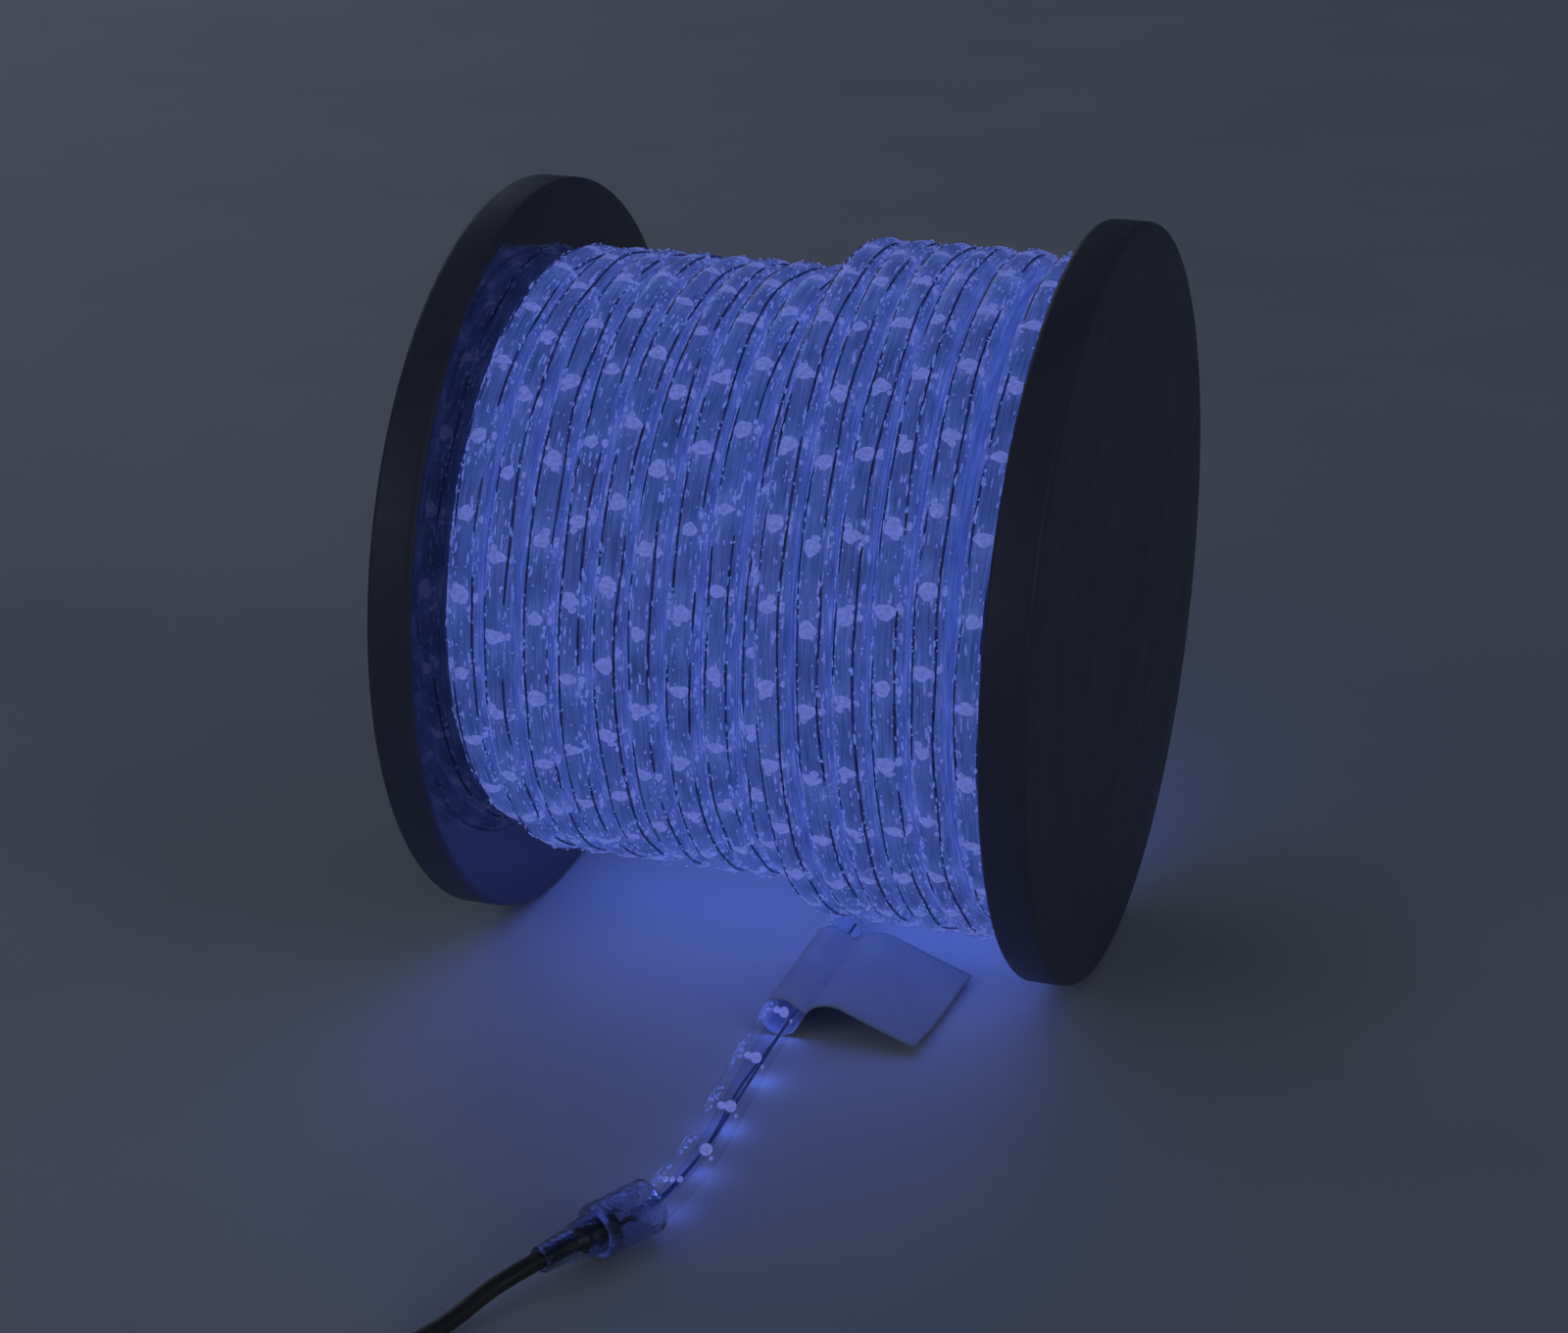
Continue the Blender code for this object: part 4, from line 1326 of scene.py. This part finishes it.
def make_ferrule(surface):
    """The cord's moulded end, with two shallow grip rings."""
    wide, length = FERRULE_RADIUS, FERRULE_LENGTH
    waist = wide - 0.0004
    profile = [(0.0, 0.0), (wide - 0.0012, 0.0), (waist, 0.0003), (wide, 0.0011)]
    for middle in (length * 0.45, length * 0.62):
        for radius, offset in ((wide, -0.0007), (waist, -0.0003), (waist, 0.0003), (wide, 0.0007)):
            profile.append((radius, middle + offset))
    profile += [(wide, length - 0.0012), (wide - 0.0006, length - 0.0002), (wide - 0.0010, length)]
    profile.append((0.0, length))
    place = on_connector(FERRULE_START)
    return lathe("ferrule_moulding", profile, 48, surface, place, CONNECTOR_AXIS, sharp=45)


def make_pins(surface, steps=16):
    """Two pins that bend out from the cord's end to the rope's wires."""
    across = UP.cross(CONNECTOR_AXIS)
    section = round_section(0.00086, 12)
    made = []
    for number, hand in enumerate(PRONG_HANDS, 1):
        near = on_connector(PIN_START) + across * hand * 0.0034
        far = on_connector(PIN_START + PIN_LENGTH) + across * hand * PIN_SPACING / 2
        bend = across * hand * 0.0009 + UP * 0.0020
        shares = [index / steps for index in range(steps + 1)]
        points = [near.lerp(far, share) + bend * math.sin(math.pi * share) for share in shares]
        made.append(sweep(f"contact_wire_{number}", points, [UP] * len(points), section, surface, caps=True))
    return made


# The power cord

def coil_slots():
    """The places of the coil's turns, as (outwards from their middle, up from the lowest)."""
    return [(across * CORD_DIAMETER, layer * COIL_LAYER_RISE) for across, layer in COIL_SLOTS]


def coil_knots():
    """The coil's turns as (turns from where the cord comes in, radius, height)."""
    knots = [(0.0, COIL_BESIDE, COIL_LOW)]
    for turn, (beside, rise) in enumerate(coil_slots()):
        radius, height = COIL_MEAN_RADIUS + beside, COIL_LOW + rise
        knots += [(turn + 0.22, radius, height), (turn + 1.0, radius, height)]
    knots += [
        (6.16, COIL_MEAN_RADIUS + CORD_DIAMETER, COIL_LOW + 2 * COIL_LAYER_RISE),
        (6.30, COIL_MEAN_RADIUS + CORD_DIAMETER * 1.5, COIL_LOW + COIL_LAYER_RISE + 0.0018),
        (6.40, COIL_MEAN_RADIUS + CORD_DIAMETER * 1.92, COIL_LOW + 0.0027),
        (COIL_TURNS, COIL_BESIDE, COIL_LOW),
    ]
    return knots


def coil_points(steps=48):
    """The coil's turns, with steps points in each."""
    knots = coil_knots()
    radius_at = functools.partial(between, [(turn, radius) for turn, radius, _ in knots])
    height_at = functools.partial(between, [(turn, height) for turn, _, height in knots])
    points = []
    for index in range(int(COIL_TURNS * steps) + 1):
        turn = index / steps
        reach = 0.0 if turn in (0.0, COIL_TURNS) else 0.045
        angle = COIL_ENTRY_ANGLE + 2 * math.pi * turn
        arm = Vector((math.cos(angle), math.sin(angle), 0.0)) * softened(radius_at, turn, reach)
        points.append(COIL_CENTRE + arm + UP * softened(height_at, turn, reach))
    return points


def cord_points():
    """The whole power cord: out of the connector, along the floor, through its coil and to the plug."""
    coil = coil_points()
    lead = [
        on_connector(CORD_START),
        on_connector((CORD_START + SLEEVE_END) / 2),
        on_connector(SLEEVE_END + STRAIGHT_OUT),
        Vector((-0.0054, -0.2895, 0.0069)),
        Vector((-0.0103, -0.3016, 0.0045)),
        Vector((-0.0159, -0.3144, 0.0033)),
        Vector((-0.0239, -0.3280, 0.0030)),
        Vector((-0.0356, -0.3416, 0.0034)),
    ]
    tail = [
        Vector((-0.0010, -0.4263, 0.0048)),
        PLUG_BACK - PLUG_AXIS * (RELIEF_LENGTH + STRAIGHT_OUT),
        PLUG_BACK - PLUG_AXIS * RELIEF_LENGTH / 2,
        PLUG_BACK - PLUG_AXIS * FIT_GAP,
    ]
    before = 2 * lead[0] - lead[1]
    first = smooth_points([before, *lead, coil[0], coil[1]], 0.004)
    last = smooth_points([coil[-2], coil[-1], *tail, 2 * tail[-1] - tail[-2]], 0.004)
    return evenly(first[:-1] + coil + last[1:], 0.0041)


def make_cord(surface):
    """The power cord as a round curve."""
    curve = bpy.data.curves.new("mains_cord", "CURVE")
    curve.dimensions = "3D"
    curve.bevel_depth = CORD_RADIUS
    curve.bevel_resolution = 4
    curve.use_fill_caps = True
    points = cord_points()
    spline = curve.splines.new("POLY")
    spline.points.add(len(points) - 1)
    for slot, point in zip(spline.points, points):
        slot.co = (*point, 1.0)
    spline.use_smooth = True
    curve.materials.append(surface)
    return add_object("mains_cord", curve)


def bundle_hull(grow):
    """The outline of the coil's turns at its tie, as (across, up) points round its middle."""
    outline = []
    for cosine, sine in circle(HULL_STEPS):
        far = max(coil_slots(), key=lambda slot: slot[0] * cosine + slot[1] * sine)
        outline.append((far[0] + cosine * (CORD_RADIUS + grow), far[1] + sine * (CORD_RADIUS + grow)))
    return outline


def make_tie(surface, steps=36, sides=6):
    """A flat band drawn round the coil, closed by two twisted ends on top."""
    radial = Vector((math.cos(TIE_ANGLE), math.sin(TIE_ANGLE), 0.0))
    along = Vector((-radial.y, radial.x, 0.0))
    centre = COIL_CENTRE + radial * COIL_MEAN_RADIUS + UP * COIL_LOW
    half = TIE_WIDTH / 2
    soft = half - 0.0003
    section = ((0.0002, -half), (0.0002, half), (0.0007, soft), (0.0009, 0.0), (0.0007, -soft))
    verts = []
    for grow, edge in section:
        verts += ring_at(centre + along * edge, radial, UP, bundle_hull(grow))
    faces = rings_to_faces(len(section), HULL_STEPS, closed=True)
    top = centre + UP * (2 * COIL_LAYER_RISE + CORD_RADIUS + 0.0006)
    strand_side = along.cross(UP) * TIE_STRAND_RADIUS
    for strand in (0.0, math.pi):
        start = len(verts)
        for index in range(steps + 1):
            share = index / steps
            angle = strand + share * 5 * math.pi
            lift = 0.0012 + 0.0018 * math.sin(share * math.pi / 2)
            middle = top + along * (share * 0.013 - 0.001) + UP * lift
            middle += (radial * math.cos(angle) + UP * math.sin(angle)) * TIE_TWIST_RADIUS
            verts += ring_at(middle, strand_side, UP * TIE_STRAND_RADIUS, circle(sides))
        faces += rings_to_faces(steps + 1, sides, start=start)
        faces += [tuple(range(first, first + sides)) for first in (start, start + steps * sides)]
    return make_mesh("coil_twist_tie", verts, faces, surface, sharp=50)


# The plug

def rounded_box_section(width, height, corner, steps=5):
    """A rectangle with round corners, centred, as (across, up) points."""
    points = []
    for turn, (x, y) in enumerate(((1, 1), (-1, 1), (-1, -1), (1, -1))):
        for step in range(steps + 1):
            angle = math.pi / 2 * (turn + step / steps)
            across = x * (width / 2 - corner) + corner * math.cos(angle)
            points.append((across, y * (height / 2 - corner) + corner * math.sin(angle)))
    return points


def plug_stations():
    """(along, width, thickness, corner) of the plug's body, from its cord end, with grip grooves."""
    stations = [
        (0.0000, PLUG_BACK_WIDTH - 0.0030, PLUG_BACK_THICKNESS - 0.0026, 0.0030),
        (0.0006, PLUG_BACK_WIDTH - 0.0012, PLUG_BACK_THICKNESS - 0.0010, 0.0038),
        (0.0018, PLUG_BACK_WIDTH, PLUG_BACK_THICKNESS, 0.0042),
    ]

    def size_at(along):
        share = along / PLUG_LENGTH
        return (
            PLUG_BACK_WIDTH + (PLUG_WIDTH - PLUG_BACK_WIDTH) * share,
            PLUG_BACK_THICKNESS + (PLUG_THICKNESS - PLUG_BACK_THICKNESS) * share,
        )

    for groove in range(6):
        middle = 0.0065 + groove * 0.0027
        for offset, dip in ((-0.0009, 0.0), (-0.0004, 0.0009), (0.0004, 0.0009), (0.0009, 0.0)):
            wide, thick = size_at(middle + offset)
            stations.append((middle + offset, wide - dip, thick - dip * 0.5, 0.0042))
    for to_end, inset in ((0.0060, 0.0), (0.0012, 0.0), (0.0003, 0.0008)):
        wide, thick = size_at(PLUG_LENGTH - to_end)
        stations.append((PLUG_LENGTH - to_end, wide - inset, thick - inset, 0.0036))
    stations.append((PLUG_LENGTH, PLUG_WIDTH - 0.0024, PLUG_THICKNESS - 0.0024, 0.0030))
    return stations


def make_plug_body(surface):
    """The plug's moulded body."""
    verts = []
    stations = plug_stations()
    for along, width, thickness, corner in stations:
        corner = min(corner, width / 2 - 0.0002, thickness / 2 - 0.0002)
        section = rounded_box_section(width, thickness, corner)
        verts += ring_at(PLUG_BACK + PLUG_AXIS * along, PLUG_ACROSS, UP, section)
    around = len(section)
    faces = rings_to_faces(len(stations), around)
    faces += [tuple(reversed(range(around))), tuple(range(len(verts) - around, len(verts)))]
    made = make_mesh("plug_moulding", verts, faces, surface, sharp=60)
    merge_close(made)
    return made


def blade_outline(steps=8):
    """A blade's outline as (along, up) points, round at its tip."""
    half = BLADE_HEIGHT / 2
    outline = [(0.0, -half)]
    for step in range(steps + 1):
        angle = math.pi * (step / steps - 0.5)
        along = BLADE_LENGTH - BLADE_TIP + BLADE_TIP * math.cos(angle)
        outline.append((along, (half - BLADE_BEVEL) * math.sin(angle)))
    return [*outline, (0.0, half)]


def blade_hole(outline):
    """The round hole near a blade's tip, with a point for each point of the outline."""
    points = []
    for along, up in outline:
        angle = math.atan2(up, along - BLADE_HOLE_ALONG)
        ahead, above = BLADE_HOLE_RADIUS * math.cos(angle), BLADE_HOLE_RADIUS * math.sin(angle)
        points.append((BLADE_HOLE_ALONG + ahead, above))
    return points


def make_blade(number, hand, surface):
    """One flat blade with a rounded tip and a round hole."""
    base = PLUG_BACK + PLUG_AXIS * (PLUG_LENGTH + FIT_GAP) + PLUG_ACROSS * hand * BLADE_SPACING / 2
    outline = blade_outline()
    scale = 1 - 2 * BLADE_BEVEL / BLADE_HEIGHT
    face_edge = [(max(0.0, along - BLADE_BEVEL), up * scale) for along, up in outline]
    half = BLADE_THICKNESS / 2
    levels = [(blade_hole(outline), half), (face_edge, half), (outline, half - BLADE_BEVEL)]
    verts = []
    for side in (-1, 1):
        for loop, level in levels[::-side]:
            verts += ring_at(base + PLUG_ACROSS * side * level, PLUG_AXIS, UP, loop)
    faces = rings_to_faces(2 * len(levels), len(outline), closed=True)
    made = make_mesh(f"plug_blade_metal_{number}", verts, faces, surface, sharp=40)
    merge_close(made)
    return made


def make_relief(surface, ribs=6):
    """The plug's tapered strain relief: a row of ribs with slots between them."""
    bore = CORD_RADIUS + 0.0003
    profile = [(bore, 0.0), (RELIEF_END_RADIUS - 0.0003, 0.0), (RELIEF_END_RADIUS, 0.0005)]
    for rib in range(ribs):
        for offset, dip in ((0.0, 0.0), (0.0018, 0.0), (0.0021, 0.0007), (0.0029, 0.0007)):
            along = 0.0012 + rib * 0.0032 + offset
            radius = RELIEF_END_RADIUS + (RELIEF_RADIUS - RELIEF_END_RADIUS) * along / RELIEF_LENGTH
            profile.append((max(bore + 0.0003, radius - dip), along))
    profile += [(RELIEF_RADIUS, RELIEF_LENGTH - 0.0010), (RELIEF_RADIUS, RELIEF_LENGTH)]
    profile.append((bore, RELIEF_LENGTH))
    place = PLUG_BACK - PLUG_AXIS * (RELIEF_LENGTH + FIT_GAP)
    return lathe("relief_ribs", profile, 40, surface, place, PLUG_AXIS, sharp=40)


# Putting it together

def ride(made, slot, *nodes):
    """Fastens a piece to the part's one body and hides the nodes that it stands in for."""
    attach(made, "root")
    if nodes:
        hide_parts(*nodes)
    return made


def dress_winding(looks, chance):
    made = wound_rope("full", full_layer(), FULL_LAYER_LAMPS, FULL_LAMPS_A_TURN, looks, chance)
    made += wound_rope("top", top_layer(), TOP_LAYER_LAMPS, TOP_LAMPS_A_TURN, looks, chance)
    made += lit_bed(looks)
    for piece in made:
        ride(piece, "lit_rope", "rope_winding")


def dress_tail(looks, chance):
    points, skin, inside, lit = make_tail(looks, chance)
    ride(skin, "lit_rope", "rope_tail")
    for piece in inside:
        ride(piece, "lit_rope")
    tag = ride(make_tag(tag_material()), "tag_vinyl", "blank_tag")
    clear = fitting_material()
    cord_vinyl = cord_material()
    collar = ride(make_collar(clear), "clear_vinyl", "connector_collar")
    sleeve = ride(make_sleeve(clear), "clear_vinyl", "shrink_sleeve")
    ferrule = ride(make_ferrule(cord_vinyl), "cord_vinyl", "cord_ferrule")
    brass = brass_material("contact_brass", (0.52, 0.36, 0.14), (0.74, 0.56, 0.26))
    # The pins' brass is dark: painted shade, as they are lit from behind.
    pins = make_pins(brass_material("pin_brass_painted_shade", (0.10, 0.075, 0.045), (0.20, 0.15, 0.08)))
    for number, pin in enumerate(pins, 1):
        ride(pin, "contact_brass", f"contact_pin_{number}")
    for number, (place, aside) in enumerate(zip(lit, TAIL_LIGHTS_ASIDE), 1):
        lamp_light(f"tail_lamp_light_{number}", place + Vector((aside, -0.002, 0.0)), TAIL_LAMP_POWER)
    inside_tag = Vector((TAIL_X - 0.002, TAG_START_Y - 0.84 * TAG_WIDTH, TAIL_HEIGHT + 0.0045))
    lamp_light("tag_inside_light", inside_tag, 0.4 * TAIL_LAMP_POWER)
    return cord_vinyl, brass


def dress_power_cord(cord_vinyl, brass):
    cord = ride(make_cord(cord_vinyl), "cord_vinyl", "power_cord", "cord_coil", "plug_cord")
    plug_vinyl = plug_material()
    plug = ride(make_plug_body(plug_vinyl), "plug_vinyl", "plug_body")
    relief = ride(make_relief(plug_vinyl), "plug_vinyl", "plug_strain_relief")
    tie = ride(make_tie(tie_material()), "tie_plastic", "coil_tie")
    for number, hand in enumerate(PRONG_HANDS, 1):
        ride(make_blade(number, hand, brass), "contact_brass", f"plug_blade_{number}")


def make_floor():
    """The plain pale floor, which belongs to the picture and not to the part."""
    corners = [Vector((x, y, 0.0)) * FLOOR_HALF for x, y in ((-1, -1), (1, -1), (1, 1), (-1, 1))]
    floor = make_mesh("floor", corners, [(0, 1, 2, 3)], floor_material())


def add_light(name, kind, place, power, color, seen):
    """A light that no camera sees. seen says whether glossy surfaces reflect it."""
    made = add_object(name, bpy.data.lights.new(name, kind))
    made.data.energy = power
    made.data.color = color
    made.location = place
    made.visible_camera = False
    made.visible_glossy = seen
    return made


def area_light(name, place, aim, wide, high, power, color, seen=True):
    """A rectangle of light."""
    made = add_light(name, "AREA", place, power, color, seen)
    made.data.shape = "RECTANGLE"
    made.data.size, made.data.size_y = wide, high
    made.rotation_euler = (aim - place).to_track_quat("-Z", "Y").to_euler()


def lamp_light(name, place, power):
    """The light that a lamp in the loose end throws on what is round it."""
    made = add_light(name, "POINT", place, power, GLOW_COLOR, seen=False)
    made.data.shadow_soft_size = 0.0025


def winding_lights():
    """Blue light from just over the winding, which the flanges shade as they shade the rope's own."""
    for layer, left, right, centre in (
        ("full", -INNER_HALF, STEP_X, FULL_CENTRE), ("top", STEP_X, INNER_HALF, TOP_CENTRE)
    ):
        radius = centre + ROPE_RADIUS + LIGHT_GAP
        long = right - left
        wide = 2 * radius * math.tan(math.radians(14))
        for number, angle in enumerate(range(-90, 91, 30), 1):
            out = outward(angle)
            place = Vector(((left + right) / 2, 0.0, AXIS_HEIGHT)) + out * radius
            power = WINDING_POWER * long * wide * (1.0 - 0.72 * abs(angle) / 90)
            name = f"{layer}_winding_light_{number}"
            area_light(name, place, place + out, long, wide, power, GLOW_COLOR, seen=False)


def make_lights():
    """Dim soft studio light, and the light that the rope throws on the floor."""
    world = bpy.data.worlds.new("studio")
    world.use_nodes = True
    feed(world.node_tree.nodes["Background"], color=SKY_COLOR, strength=SKY_STRENGTH)
    bpy.context.scene.world = world
    for name, (place, *rest) in STUDIO_LIGHTS.items():
        area_light(name, Vector(place), STUDIO_AIM, *rest)
    winding_lights()


def make_camera():
    """The camera at the photograph's place."""
    back = Vector((math.sin(CAMERA_AZIMUTH), -math.cos(CAMERA_AZIMUTH), 0.0)) * math.cos(CAMERA_ELEVATION)
    back.z = math.sin(CAMERA_ELEVATION)
    data = bpy.data.cameras.new("camera")
    data.lens = CAMERA_LENS
    data.sensor_width = SENSOR_WIDTH
    camera = add_object("camera", data)
    camera.location = CAMERA_AIM + back * CAMERA_DISTANCE
    camera.rotation_euler = (-back).to_track_quat("-Z", "Y").to_euler()
    bpy.context.scene.camera = camera


def main():
    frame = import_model()
    make_camera()
    chance = random.Random(SEED)
    looks = rope_looks()
    cord_vinyl, brass = dress_tail(looks, chance)
    dress_power_cord(cord_vinyl, brass)
    dress_winding(looks, chance)
    outer, inner = flange_material(), flange_inner_material()
    make_flange("left_flange", -1, outer, inner)
    make_flange("right_flange", 1, outer, inner)
    barrel = core_material()
    core = frame["nodes"]["spool_core"]
    for slot in core.material_slots:
        slot.material = barrel
    make_floor()
    make_lights()
    bpy.context.scene.view_settings.view_transform = "Standard"


main()
